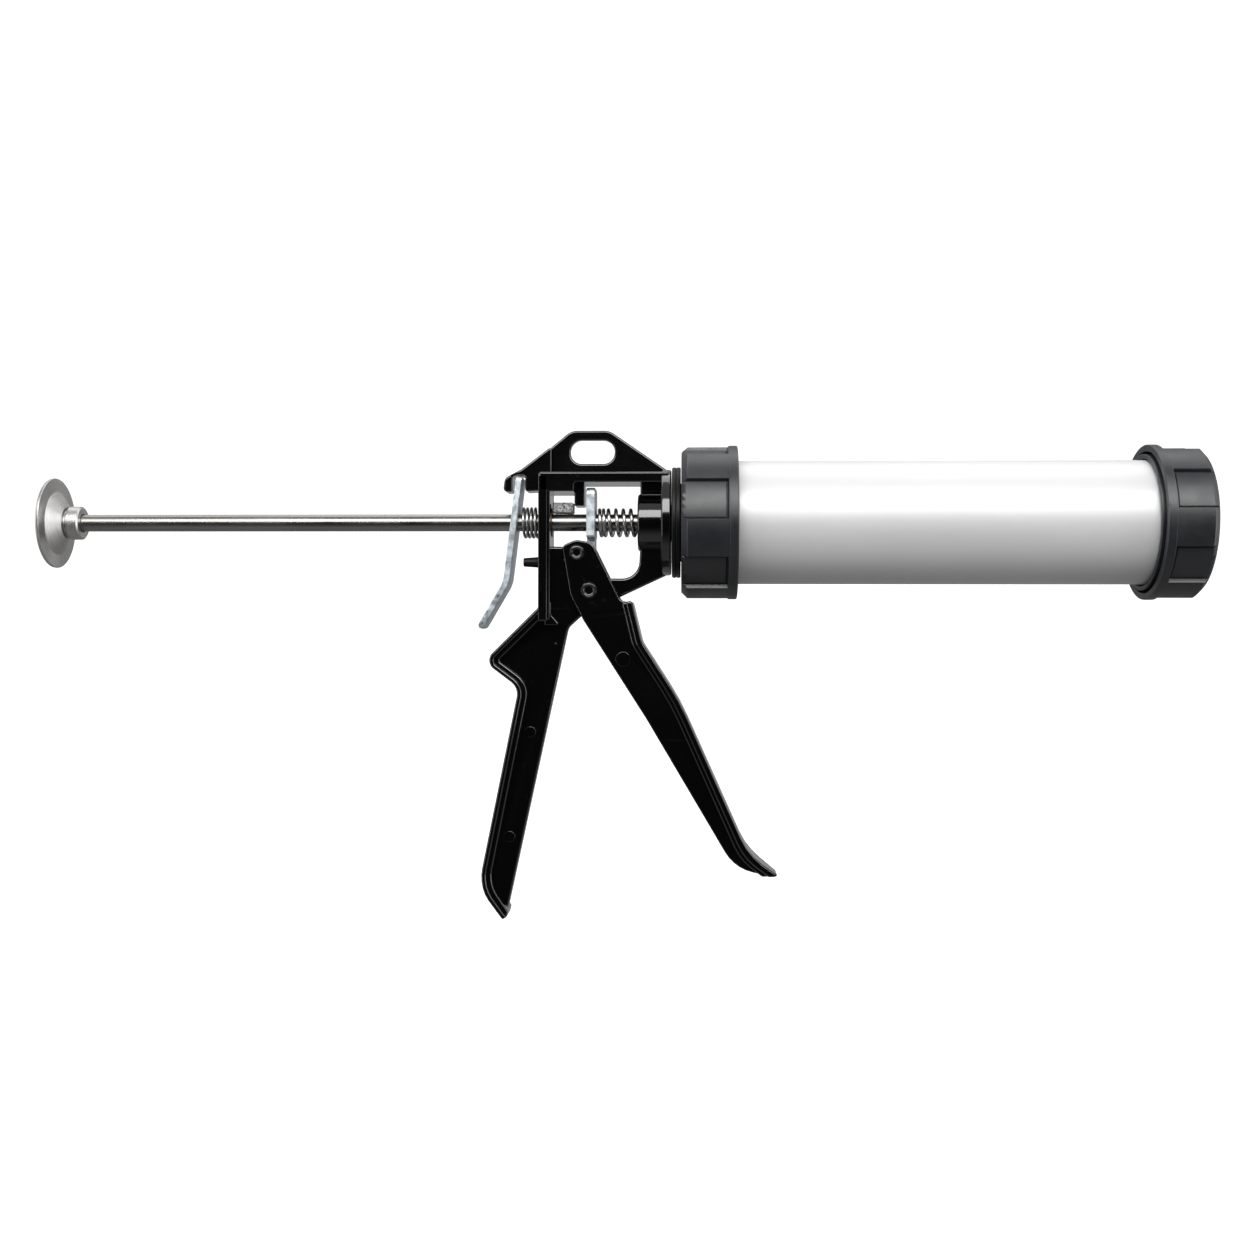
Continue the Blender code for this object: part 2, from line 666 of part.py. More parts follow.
def build_drive_plate(datum):
    """Plate that grips the rod, narrowed where it enters the trigger's head."""
    half, tongue = PLATE_WIDTH / 2, PLATE_TONGUE / 2
    shoulder = PLATE_SHOULDER
    face = rounded([
        (-half, shoulder, 1.0),
        (-tongue, shoulder, 0.8),
        (-tongue, PLATE_FOOT, 1.0),
        (tongue, PLATE_FOOT, 1.0),
        (tongue, shoulder, 0.8),
        (half, shoulder, 1.0),
        (half, PLATE_TOP, 3.0),
        (-half, PLATE_TOP, 3.0),
    ])
    build = bmesh.new()
    rear = [build.verts.new((PLATE_REAR * MM, y * MM, z * MM)) for y, z in face]
    lifted = bmesh.ops.extrude_face_region(build, geom=[build.faces.new(rear)])["geom"]
    raised = [item for item in lifted if isinstance(item, bmesh.types.BMVert)]
    bmesh.ops.translate(build, verts=raised, vec=(PLATE_THICKNESS * MM, 0.0, 0.0))
    plate = mesh_object("drive_plate", build, "zinc_plate")
    cut(plate, cutter(drum(PLATE_REAR - 1.0, PLATE_FRONT + 1.0, ROD_HOLE)))
    stand(plate, datum, (PLATE_REAR, 0.0, 0.0))


def lever_centre_line():
    """Side view of the catch lever's middle, from its hooked top to its tip."""
    bend_x = LEVER_TOP_X + LEVER_LEAN * (LEVER_BEND_Z - LEVER_TOP_Z)
    rear_step = LEVER_THICKNESS / 2
    return [
        (LEVER_TOP_X + rear_step, LEVER_TOP_Z, 0.0),
        (bend_x + rear_step, LEVER_BEND_Z, 14.0),
        (LEVER_TIP_X + rear_step, LEVER_TIP_Z, 0.0),
    ]


def build_catch_lever(datum):
    """Bent strip that locks the rod, hooked in the casting's nose."""
    band = strip(open_path(lever_centre_line()), LEVER_THICKNESS)
    lever = centred_slab("catch_lever", band, LEVER_WIDTH, "zinc_plate")
    lean = math.atan(LEVER_LEAN)
    hole = cutter(drum(-LEVER_THICKNESS * 2, LEVER_THICKNESS * 2, ROD_RADIUS + 0.75))
    middle_x = LEVER_TOP_X - LEVER_LEAN * LEVER_TOP_Z
    place = Matrix.Translation(Vector((middle_x, 0.0, 0.0)) * MM)
    hole.data.transform(place @ Matrix.Rotation(lean, 4, "Y"))
    cut(lever, hole)
    stand(lever, datum, (LEVER_TOP_X, 0.0, LEVER_TOP_Z))


def coil(name, start, end, diameter, wire, closed_turns, open_turns, datum):
    """Wire spring about the rod, with closed turns at its start."""
    radius = (diameter - wire) / 2
    closed_pitch = wire * 1.1
    first, last = start + wire / 2, end - wire / 2
    closed_length = closed_turns * closed_pitch
    open_pitch = (last - first - closed_length) / open_turns
    steps_a_turn = 16
    steps = round((closed_turns + open_turns) * steps_a_turn)
    curve = bpy.data.curves.new(name, "CURVE")
    curve.dimensions = "3D"
    curve.bevel_depth = wire / 2 * MM
    curve.bevel_resolution = 1
    curve.use_fill_caps = True
    spline = curve.splines.new("POLY")
    spline.points.add(steps)
    for number, point in enumerate(spline.points):
        turns = number / steps_a_turn
        slow, fast = min(turns, closed_turns), max(turns - closed_turns, 0.0)
        place = first + slow * closed_pitch + fast * open_pitch
        angle = math.tau * turns
        side, rise = radius * math.cos(angle), radius * math.sin(angle)
        point.co = (place * MM, side * MM, rise * MM, 1.0)
    curve.materials.append(finish("spring_wire"))
    spring = bpy.data.objects.new(name, curve)
    bpy.context.scene.collection.objects.link(spring)
    spring.parent = datum


def build_springs(datum):
    """Return spring of the drive plate and spring of the catch lever."""
    drive_start, drive_end = PLATE_FRONT + GAP, WALL_REAR
    coil("drive_spring", drive_start, drive_end, DRIVE_COIL, DRIVE_WIRE, 2.0, 4.0, datum)
    lever_face = LEVER_TOP_X + LEVER_LEAN * (CATCH_COIL / 2 - LEVER_TOP_Z) + LEVER_THICKNESS / 2
    catch_start = lever_face + GAP + 0.2
    coil("catch_spring", catch_start, POST_REAR - GAP, CATCH_COIL, CATCH_WIRE, 0.5, 3.5, datum)


def build_rod(datum):
    """Push rod with the pull knob at its rear and the piston at its front."""
    rod = turned("push_rod", [
        (KNOB_CONE_FRONT - KNOB_CONE - KNOB_EDGE + 1.0, 0.0),
        (KNOB_CONE_FRONT - KNOB_CONE - KNOB_EDGE + 1.0, ROD_RADIUS),
        (ROD_FRONT - 0.8, ROD_RADIUS),
        (ROD_FRONT, ROD_RADIUS - 0.8),
        (ROD_FRONT, 0.0),
    ], "rod_steel", FINE_SEGMENTS)
    hole = ROD_RADIUS + GAP
    disc_front = KNOB_CONE_FRONT - KNOB_CONE
    knob = turned("pull_knob", [
        (disc_front - KNOB_EDGE, 0.0),
        (disc_front - KNOB_EDGE, KNOB_RADIUS - 0.5),
        (disc_front - KNOB_EDGE + 0.5, KNOB_RADIUS),
        (disc_front - 0.4, KNOB_RADIUS),
        (disc_front, KNOB_RADIUS - 0.4),
        (disc_front, KNOB_RADIUS - KNOB_FLAT),
        (KNOB_CONE_FRONT, COLLAR_RADIUS),
        (KNOB_CONE_FRONT, hole),
        (disc_front - KNOB_EDGE + 0.7, hole),
        (disc_front - KNOB_EDGE + 0.7, 0.0),
    ], "knob_steel")
    collar = turned("knob_collar", [
        (COLLAR_REAR, hole),
        (COLLAR_REAR, COLLAR_RADIUS),
        (KNOB_FRONT - 0.7, COLLAR_RADIUS),
        (KNOB_FRONT, COLLAR_RADIUS - 0.7),
        (KNOB_FRONT, hole),
    ], "knob_steel", FINE_SEGMENTS)

    rear_plate = ring(PISTON_REAR, PISTON_REAR + PISTON_PLATE, hole, PISTON_PLATE_RADIUS)
    front_plate = ring(PISTON_FRONT_PLATE, PISTON_FRONT_PLATE + PISTON_PLATE, hole, PISTON_PLATE_RADIUS)
    seal_end = SEAL_REAR + SEAL_LENGTH
    lip = TUBE_BORE - GAP
    seal = turned("piston_seal", [
        (SEAL_REAR, hole),
        (SEAL_REAR, lip - SEAL_LIP),
        (SEAL_REAR + 1.2, lip),
        (seal_end - 1.2, lip),
        (seal_end, lip - SEAL_LIP),
        (seal_end, hole),
    ], "seal_rubber")
    nut_radius = NUT_FLATS / math.sqrt(3)
    nut_profile = ring(NUT_REAR, NUT_REAR + NUT_LENGTH, hole, nut_radius)
    nut = turned("piston_nut", nut_profile, "piston_steel", 6)
    nut_bore = cutter(drum(NUT_REAR - 1.0, NUT_REAR + NUT_LENGTH + 1.0, hole))
    cut(nut, nut_bore)
    pieces = (
        rod, knob, collar, seal, nut,
        turned("piston_rear_plate", rear_plate, "piston_steel"),
        turned("piston_front_plate", front_plate, "piston_steel"),
    )
    for piece in pieces:
        stand(piece, datum)


def cap_profile(length, lip, floor_hole):
    """Section of a cap with an end wall, a threaded sleeve and an outer shell."""
    sleeve_inner = TUBE_RADIUS + THREAD_ROOM
    sleeve_outer = sleeve_inner + CAP_SLEEVE
    shell_inner = CAP_RADIUS - GRIP_DEPTH - CAP_SHELL
    rim_start = length - CAP_RIM_LENGTH
    return [
        (0.0, floor_hole),
        (0.0, CAP_RADIUS - CAP_CHAMFER),
        (CAP_CHAMFER, CAP_RADIUS),
        (rim_start, CAP_RADIUS),
        (rim_start + 0.5, CAP_RADIUS + CAP_RIM),
        (length - 0.5, CAP_RADIUS + CAP_RIM),
        (length, CAP_RADIUS + CAP_RIM - 0.5),
        (length, shell_inner),
        (CAP_CAVITY, shell_inner),
        (CAP_CAVITY, sleeve_outer),
        (length + lip, sleeve_outer),
        (length + lip, sleeve_inner),
        (CAP_WALL, sleeve_inner),
        (CAP_WALL, floor_hole),
    ]


def grip_cutters(face, mouth, length, phase):
    """Ring-sector shapes that leave a cap's recessed grip panels."""
    inner, outer = CAP_RADIUS - GRIP_DEPTH, CAP_RADIUS + 3.0
    near, far = face - mouth * 1.0, face + mouth * (length - CAP_RIM_LENGTH)
    arc_steps = 6
    for number in range(GRIP_RECESSES):
        middle = phase + math.tau * number / GRIP_RECESSES
        turns = [middle + GRIP_SPAN * (step / arc_steps - 0.5) for step in range(arc_steps + 1)]
        section = [(inner, turn) for turn in turns] + [(outer, turn) for turn in reversed(turns)]
        build = bmesh.new()
        start = [
            build.verts.new((near * MM, -radius * math.cos(turn) * MM, radius * math.sin(turn) * MM))
            for radius, turn in section
        ]
        lifted = bmesh.ops.extrude_face_region(build, geom=[build.faces.new(start)])["geom"]
        raised = [item for item in lifted if isinstance(item, bmesh.types.BMVert)]
        bmesh.ops.translate(build, verts=raised, vec=((far - near) * MM, 0.0, 0.0))
        yield mesh_object("cutter", build, "cap_plastic")


def build_cap(name, side, face, mouth, phase, datum):
    """One screw cap whose end wall's outer face is at face and which opens towards mouth."""
    profile = [(face + mouth * place, radius) for place, radius in side]
    length = max(place for place, radius in side if radius > CAP_RADIUS)
    cap = turned(name, profile, "cap_plastic")
    cut(cap, *grip_cutters(face, mouth, length, phase))
    stand(cap, datum)


def build_barrel(datum):
    """Tube, its two screw caps and their seals."""
    tube = ring(TUBE_REAR, TUBE_FRONT, TUBE_BORE, TUBE_RADIUS)
    stand(turned("barrel_tube", tube, "tube_aluminium"), datum)
    rear_hole = HUB_SPIGOT + GAP
    rear_side = cap_profile(REAR_CAP_LENGTH, REAR_CAP_LIP, rear_hole)
    front_side = cap_profile(FRONT_CAP_LENGTH, FRONT_CAP_LIP, NOZZLE_RADIUS)
    build_cap("rear_cap", rear_side, REAR_CAP_REAR, 1.0, REAR_GRIP_PHASE, datum)
    build_cap("front_cap", front_side, FRONT_CAP_FRONT, -1.0, FRONT_GRIP_PHASE, datum)
    gasket = ring(GASKET_REAR, GASKET_REAR + GASKET_LENGTH, RETAINER_RADIUS + GAP, TUBE_RADIUS)
    stand(turned("rear_gasket", gasket, "seal_rubber"), datum)
    seal = ring(FRONT_SEAL_REAR, FRONT_SEAL_REAR + FRONT_SEAL_LENGTH, TUBE_BORE - 3.0, TUBE_RADIUS)
    stand(turned("front_seal", seal, "seal_rubber"), datum)


def build():
    """Make the whole gun at rest: rod drawn back, trigger open, both caps tight."""
    clear_scene()
    datum = bpy.data.objects.new("datum", None)
    bpy.context.scene.collection.objects.link(datum)
    datum.location = (0.0, 0.0, -SLOT_ABOVE_ROD * MM)
    build_frame_casting(datum)
    build_frame_fittings(datum)
    build_trigger(datum)
    build_drive_plate(datum)
    build_catch_lever(datum)
    build_springs(datum)
    build_rod(datum)
    build_barrel(datum)


build()
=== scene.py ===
import json
import math

import bmesh
import bpy
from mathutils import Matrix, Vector, noise
from mathutils.geometry import tessellate_polygon


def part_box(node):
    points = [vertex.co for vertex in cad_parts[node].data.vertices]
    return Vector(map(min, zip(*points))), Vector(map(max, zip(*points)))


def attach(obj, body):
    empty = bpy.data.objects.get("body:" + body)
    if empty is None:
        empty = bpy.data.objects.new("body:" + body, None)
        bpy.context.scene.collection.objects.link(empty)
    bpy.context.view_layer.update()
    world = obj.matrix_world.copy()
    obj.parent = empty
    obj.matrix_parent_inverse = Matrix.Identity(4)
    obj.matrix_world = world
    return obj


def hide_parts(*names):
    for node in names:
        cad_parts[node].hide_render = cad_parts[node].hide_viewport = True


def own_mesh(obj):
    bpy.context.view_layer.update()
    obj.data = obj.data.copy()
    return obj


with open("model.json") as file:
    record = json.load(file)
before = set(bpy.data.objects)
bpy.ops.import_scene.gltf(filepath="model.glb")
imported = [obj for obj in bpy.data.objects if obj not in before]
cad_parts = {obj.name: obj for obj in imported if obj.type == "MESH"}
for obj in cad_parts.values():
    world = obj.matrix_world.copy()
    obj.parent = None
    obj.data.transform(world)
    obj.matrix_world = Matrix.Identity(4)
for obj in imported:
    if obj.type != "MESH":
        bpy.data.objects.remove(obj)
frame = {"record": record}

bl_info = {
    "name": "Caulking Gun",
    "version": (1, 0, 0),
    "blender": (4, 5, 0),
    "location": "3D Viewport > Sidebar > Caulking Gun",
    "description": "Builds the finished pieces of a barrel caulking gun around its packed frame",
    "category": "Add Mesh",
}

# Lengths are in millimetres. X runs to the front cap from the hang slot, Z up from the rod's axis.
MM = 0.001
ROD_LOW, ROD_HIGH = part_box("push_rod")
AXIS = (ROD_LOW.z + ROD_HIGH.z) / 2
SLIDING_BORE, FIXED_BORE = 4.1, 4.05      # radii of the holes the rod slides in, and is held in
BODY_OF = {
    node: body
    for body, nodes in frame["record"]["behaviour"]["bodies"].items()
    for node in nodes
}


def span(node):
    """Lowest and highest corner of a frame node, in millimetres from the slot and the axis."""
    low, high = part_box(node)
    lift = Vector((0.0, 0.0, AXIS))
    return (low - lift) / MM, (high - lift) / MM


# Outlines: closed or open lists of (point, normal, edge), where edge is 1 on a rounded corner.


def rounded(corners, least=0.3, closed=True, step=10.0):
    """Rounds corners given as (x, z) or (x, z, radius); normals point out of a closed outline."""
    points = [Vector(corner[:2]) for corner in corners]
    radii = [max(least, corner[2] if len(corner) > 2 else 0.0) for corner in corners]
    count = len(points)
    area = sum(points[i - 1].cross(points[i]) for i in range(count))
    if area < 0.0:
        points.reverse()
        radii.reverse()
    outline = []
    for index, here in enumerate(points):
        if not closed and index in (0, count - 1):
            ahead = points[1] - here if index == 0 else here - points[index - 1]
            along = ahead.normalized()
            outline.append((here, Vector((along.y, -along.x)), 0.0))
            continue
        back = here - points[index - 1]
        ahead = points[(index + 1) % count] - here
        start, end = back.normalized(), ahead.normalized()
        turn = math.atan2(start.cross(end), start.dot(end))
        side = Vector((start.y, -start.x))
        if abs(turn) < 0.02:
            outline.append((here, side, 0.0))
            continue
        tangent = math.tan(abs(turn) / 2)
        radius = min(radii[index], 0.48 * min(back.length, ahead.length) / tangent)
        sign = 1.0 if turn > 0.0 else -1.0
        centre = here - start * radius * tangent - side * radius * sign
        steps = max(2, math.ceil(abs(math.degrees(turn)) / step))
        for number in range(steps + 1):
            share = number / steps
            angle = turn * share
            normal = Vector((
                side.x * math.cos(angle) - side.y * math.sin(angle),
                side.x * math.sin(angle) + side.y * math.cos(angle),
            ))
            edge = math.sin(math.pi * share) if turn > 0.0 else 0.0
            outline.append((centre + normal * radius * sign, normal, edge))
    return outline


def hole(corners, least=0.3, step=10.0):
    """Outline of a hole, whose normals point into it."""
    return [(point, -normal, edge) for point, normal, edge in reversed(rounded(corners, least, step=step))]


def circle(centre, radius, steps=40):
    """Round outline as (point, normal, edge), normals pointing out."""
    turns = [math.tau * number / steps for number in range(steps)]
    normals = [Vector((math.cos(turn), math.sin(turn))) for turn in turns]
    return [(Vector(centre) + normal * radius, normal, 0.0) for normal in normals]


def round_hole(centre, radius, steps=40):
    """Outline of a round hole, whose normals point into it."""
    return [(point, -normal, edge) for point, normal, edge in reversed(circle(centre, radius, steps))]


def band(path, thickness):
    """Corners of a strip beside an open path of (x, z, radius): to its right, or left if negative."""
    inner = []
    for index, (x, z, radius) in enumerate(path):
        here = Vector((x, z))
        back = here - Vector(path[index - 1][:2]) if index else None
        ahead = Vector(path[index + 1][:2]) - here if index + 1 < len(path) else None
        sides = [edge.normalized() for edge in (back, ahead) if edge is not None]
        along = sum(sides, Vector((0.0, 0.0))).normalized()
        stretch = along.dot(sides[0])
        turn = sides[0].cross(sides[-1])
        grown = radius + (thickness if turn > 0.0 else -thickness)
        place = here + Vector((along.y, -along.x)) * thickness / stretch
        inner.append((place.x, place.y, max(grown, 0.0) if radius else 0.0))
    return list(path) + inner[::-1]


def rectangle(x_low, x_high, z_low, z_high, radius=0.0):
    """Corners of a rectangle."""
    return [
        (x_low, z_low, radius), (x_high, z_low, radius), (x_high, z_high, radius), (x_low, z_high, radius),
    ]


# Solids


class Form:
    """Points, outward normals, edge shares and faces of one piece, gathered in millimetres; the edge shares
    mark rubbed edges and, along the caps' grip panels, a painted highlight.
    """

    def __init__(self):
        self.points, self.normals, self.edges, self.faces = [], [], [], []

    def add(self, point, normal, edge=0.0):
        self.points.append(Vector(point))
        self.normals.append(Vector(normal).normalized())
        self.edges.append(edge)
        return len(self.points) - 1

    def skin(self, lower, upper, closed=True):
        """Faces between two rows with the same number of points."""
        count = len(lower)
        for index in range(count if closed else count - 1):
            after = (index + 1) % count
            self.faces.append((lower[index], lower[after], upper[after], upper[index]))

    def lid(self, loops):
        """Flat face whose first loop is its border and whose other loops are holes."""
        flat = [index for loop in loops for index in loop]
        for triangle in tessellate_polygon([[self.points[index] for index in loop] for loop in loops]):
            self.faces.append(tuple(flat[corner] for corner in triangle))

    def plate(self, outlines, low, high, rim=0.7, axis="Y", steps=4):
        """Outline in the XZ plane (or the YZ plane, for axis X), made solid with rounded rims."""
        def point(place, depth):
            return (place.x, depth, place.y) if axis == "Y" else (depth, place.x, place.y)

        rows = []
        for end, sign in ((low, -1.0), (high, 1.0)):
            arc = [math.pi / 2 * number / steps for number in range(steps + 1)]
            for angle in arc if sign < 0.0 else arc[::-1]:
                inset = rim * (1.0 - math.sin(angle))
                depth = end - sign * rim * (1.0 - math.cos(angle))
                rows.append([
                    [
                        self.add(
                            point(place - normal * inset, depth),
                            Vector(point(normal * math.sin(angle), sign * math.cos(angle))),
                            max(edge, math.sin(2.0 * angle)),
                        )
                        for place, normal, edge in outline
                    ]
                    for outline in outlines
                ])
        for lower, upper in zip(rows, rows[1:]):
            for lower_loop, upper_loop in zip(lower, upper):
                self.skin(lower_loop, upper_loop)
        self.lid(rows[0])
        self.lid(rows[-1])

    def lathe(self, profile, segments=96, across=None, turns=None):
        """Profile of (place along the axis, radius) turned about the rod's axis, or about Y at across."""
        angles = turns or [math.tau * number / segments for number in range(segments)]
        rows = []
        for place, normal, edge in profile:
            row = []
            for angle in angles if place.y > 1e-4 else angles[:1]:
                cosine, sine = math.cos(angle), math.sin(angle)
                if across is None:
                    spot = (place.x, -place.y * cosine, place.y * sine)
                    lean = (normal.x, -normal.y * cosine, normal.y * sine)
                else:
                    spot = (across[0] + place.y * cosine, place.x, across[1] + place.y * sine)
                    lean = (normal.y * cosine, normal.x, normal.y * sine)
                row.append(self.add(spot, lean, edge))
            rows.append(row)
        solid_core = len(rows[0]) == 1
        for lower, upper in zip(rows, rows[1:] + ([] if solid_core else rows[:1])):
            if len(lower) == 1 or len(upper) == 1:
                tip, loop = (lower[0], upper) if len(lower) == 1 else (upper[0], lower)
                for index in range(len(loop)):
                    self.faces.append((tip, loop[index], loop[(index + 1) % len(loop)]))
            else:
                self.skin(lower, upper)

    def wire(self, centres, thickness, sides=14):
        """Round wire along closely spaced centres, with domed ends."""
        rows = []
        dome = [math.pi / 2 * number / 4 for number in range(4)]
        stops = [(0, -math.sin(angle), math.cos(angle)) for angle in reversed(dome[1:])]
        stops += [(index, 0.0, 1.0) for index in range(len(centres))]
        stops += [(len(centres) - 1, math.sin(angle), math.cos(angle)) for angle in dome[1:]]
        radius = thickness / 2
        for index, reach, width in stops:
            here = centres[index]
            along = (centres[min(index + 1, len(centres) - 1)] - centres[max(index - 1, 0)]).normalized()
            outward = Vector((0.0, here.y, here.z)).normalized()
            across = along.cross(outward).normalized()
            outward = across.cross(along).normalized()
            row = []
            for number in range(sides):
                angle = math.tau * number / sides
                spoke = outward * math.cos(angle) + across * math.sin(angle)
                spot = here + along * reach * radius + spoke * width * radius
                row.append(self.add(spot, spoke * width + along * reach, 0.0))
            rows.append(row)
        for lower, upper in zip(rows, rows[1:]):
            self.skin(lower, upper)
        self.lid([rows[0]])
        self.lid([rows[-1]])

    def mesh(self, name):
        """Finished mesh in metres, in the frame's place."""
        mesh = bpy.data.meshes.new(name)
        places = [(p.x * MM, p.y * MM, p.z * MM + AXIS) for p in self.points]
        mesh.from_pydata(places, [], self.faces)
        edge_lightened = mesh.attributes.new("rub_and_highlight_edge", "FLOAT", "POINT")
        edge_lightened.data.foreach_set("value", self.edges)
        build = bmesh.new()
        build.from_mesh(mesh)
        bmesh.ops.recalc_face_normals(build, faces=build.faces)
        build.to_mesh(mesh)
        build.free()
        mesh.shade_smooth()
        mesh.normals_split_custom_set_from_vertices(self.normals)
        return mesh


def stand_mesh(name, mesh, finish, node):
    """Links a finished mesh, which rides where its frame node does and stands for it."""
    piece = bpy.data.objects.new(name, mesh)
    bpy.context.scene.collection.objects.link(piece)
    piece.data.materials.append(finish)
    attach(piece, BODY_OF[node])
    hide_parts(node)
    return piece


def stand_piece(name, form, finish, node):
    """Stands a form in the scene as a piece."""
    if not form.faces:
        raise RuntimeError(f"{name} has no faces")
    return stand_mesh(name, form.mesh(name), finish, node)


def turned_piece(name, profile, finish, node, segments=96, across=None):
    """Piece turned from one profile, a list of corners (place, radius, corner radius)."""
    form = Form()
    solid_core = profile[0][1] == 0.0
    form.lathe(rounded(profile, 0.25, closed=not solid_core), segments, across)
    return stand_piece(name, form, finish, node)


# Effects shared by several finishes


def effect_group(name, inputs, outputs):
    """Empty node group with float inputs (name, default, low, high) and float outputs."""
    group = bpy.data.node_groups.new(name, "ShaderNodeTree")
    for label, default, low, high in inputs:
        socket = group.interface.new_socket(name=label, in_out="INPUT", socket_type="NodeSocketFloat")
        socket.default_value, socket.min_value, socket.max_value = default, low, high
    for label in outputs:
        group.interface.new_socket(name=label, in_out="OUTPUT", socket_type="NodeSocketFloat")
    return group, group.nodes.new("NodeGroupInput"), group.nodes.new("NodeGroupOutput")


def noise_node(nodes, links, scale, detail, vector):
    """Noise texture on a vector, with its scale a number or a socket."""
    node = nodes.new("ShaderNodeTexNoise")
    node.inputs["Detail"].default_value = detail
    if isinstance(scale, (int, float)):
        node.inputs["Scale"].default_value = scale
    else:
        links.new(scale, node.inputs["Scale"])
    links.new(vector, node.inputs["Vector"])
    return node


def maths(nodes, links, operation, *values):
    """Math node; each value is a number or a socket."""
    node = nodes.new("ShaderNodeMath")
    node.operation = operation
    for socket, value in zip(node.inputs, values):
        if isinstance(value, (int, float)):
            socket.default_value = value
        else:
            links.new(value, socket)
    return node.outputs[0]


def surface_grain():
    """Fine uneven skin of a coating or moulding: a height, and a mask of broad patches."""
    name = "Surface Grain"
    if name in bpy.data.node_groups:
        return bpy.data.node_groups[name]
    group, start, end = effect_group(
        name,
        [("Grain per Metre", 900.0, 10.0, 20000.0), ("Patches per Metre", 40.0, 1.0, 2000.0)],
        ["Height", "Patches"],
    )
    nodes, links = group.nodes, group.links
    place = nodes.new("ShaderNodeTexCoord").outputs["Object"]
    grain = noise_node(nodes, links, start.outputs["Grain per Metre"], 3.0, place)
    patches = noise_node(nodes, links, start.outputs["Patches per Metre"], 4.0, place)
    links.new(grain.outputs["Fac"], end.inputs["Height"])
    links.new(patches.outputs["Fac"], end.inputs["Patches"])
    return group


def edge_rub_and_highlight():
    """Mask of rubbed edges, broken up along their length; along the caps' grip panels it also carries a
    painted highlight.
    """
    name = "Edge Rub"
    if name in bpy.data.node_groups:
        return bpy.data.node_groups[name]
    group, start, end = effect_group(
        name, [("Amount", 0.5, 0.0, 1.0), ("Breaks per Metre", 250.0, 10.0, 4000.0)], ["Mask"],
    )
    nodes, links = group.nodes, group.links
    place = nodes.new("ShaderNodeTexCoord").outputs["Object"]
    breaks = noise_node(nodes, links, start.outputs["Breaks per Metre"], 5.0, place)
    edge = nodes.new("ShaderNodeAttribute")
    edge.attribute_name = "rub_and_highlight_edge"
    share = maths(nodes, links, "MULTIPLY", edge.outputs["Fac"], breaks.outputs["Fac"])
    mask = maths(nodes, links, "MULTIPLY", share, start.outputs["Amount"])
    links.new(mask, end.inputs["Mask"])
    return group


def fine_scratches():
    """Hairline scratches in two directions, as a mask."""
    name = "Fine Scratches"
    if name in bpy.data.node_groups:
        return bpy.data.node_groups[name]
    group, start, end = effect_group(
        name, [("Amount", 0.5, 0.0, 1.0), ("Lines per Metre", 300.0, 10.0, 8000.0)], ["Mask"],
    )
    nodes, links = group.nodes, group.links
    place = nodes.new("ShaderNodeTexCoord").outputs["Object"]
    lines = []
    for turn, stretch in (((0.3, 0.5, 0.2), (0.06, 1.0, 1.0)), ((1.1, -0.4, 0.9), (1.0, 0.05, 1.0))):
        lay = nodes.new("ShaderNodeMapping")
        lay.inputs["Rotation"].default_value = turn
        lay.inputs["Scale"].default_value = stretch
        links.new(place, lay.inputs["Vector"])
        streak = noise_node(nodes, links, start.outputs["Lines per Metre"], 2.0, lay.outputs["Vector"])
        thin = nodes.new("ShaderNodeMapRange")
        thin.inputs["From Min"].default_value = 0.66
        thin.inputs["From Max"].default_value = 0.72
        links.new(streak.outputs["Fac"], thin.inputs["Value"])
        lines.append(thin.outputs["Result"])
    both = maths(nodes, links, "MAXIMUM", *lines)
    mask = maths(nodes, links, "MULTIPLY", both, start.outputs["Amount"])
    links.new(mask, end.inputs["Mask"])
    return group


def turning_marks():
    """Fine rings that a lathe leaves about the rod's axis, as a height."""
    name = "Turning Marks"
    if name in bpy.data.node_groups:
        return bpy.data.node_groups[name]
    group, start, end = effect_group(name, [("Rings per Metre", 2500.0, 50.0, 20000.0)], ["Height"])
    nodes, links = group.nodes, group.links
    place = nodes.new("ShaderNodeTexCoord").outputs["Object"]
    parts = nodes.new("ShaderNodeSeparateXYZ")
    links.new(place, parts.inputs["Vector"])
    lifted = maths(nodes, links, "SUBTRACT", parts.outputs["Z"], AXIS)
    flat = maths(nodes, links, "MULTIPLY", parts.outputs["Y"], parts.outputs["Y"])
    tall = maths(nodes, links, "MULTIPLY", lifted, lifted)
    radius = maths(nodes, links, "SQRT", maths(nodes, links, "ADD", flat, tall))
    reach = maths(nodes, links, "ADD", radius, parts.outputs["X"])
    spot = maths(nodes, links, "MULTIPLY", reach, start.outputs["Rings per Metre"])
    ring = nodes.new("ShaderNodeTexNoise")
    ring.noise_dimensions = "1D"
    ring.inputs["Scale"].default_value = 1.0
    ring.inputs["Detail"].default_value = 2.0
    links.new(spot, ring.inputs["W"])
    links.new(ring.outputs["Fac"], end.inputs["Height"])
    return group


# Finishes


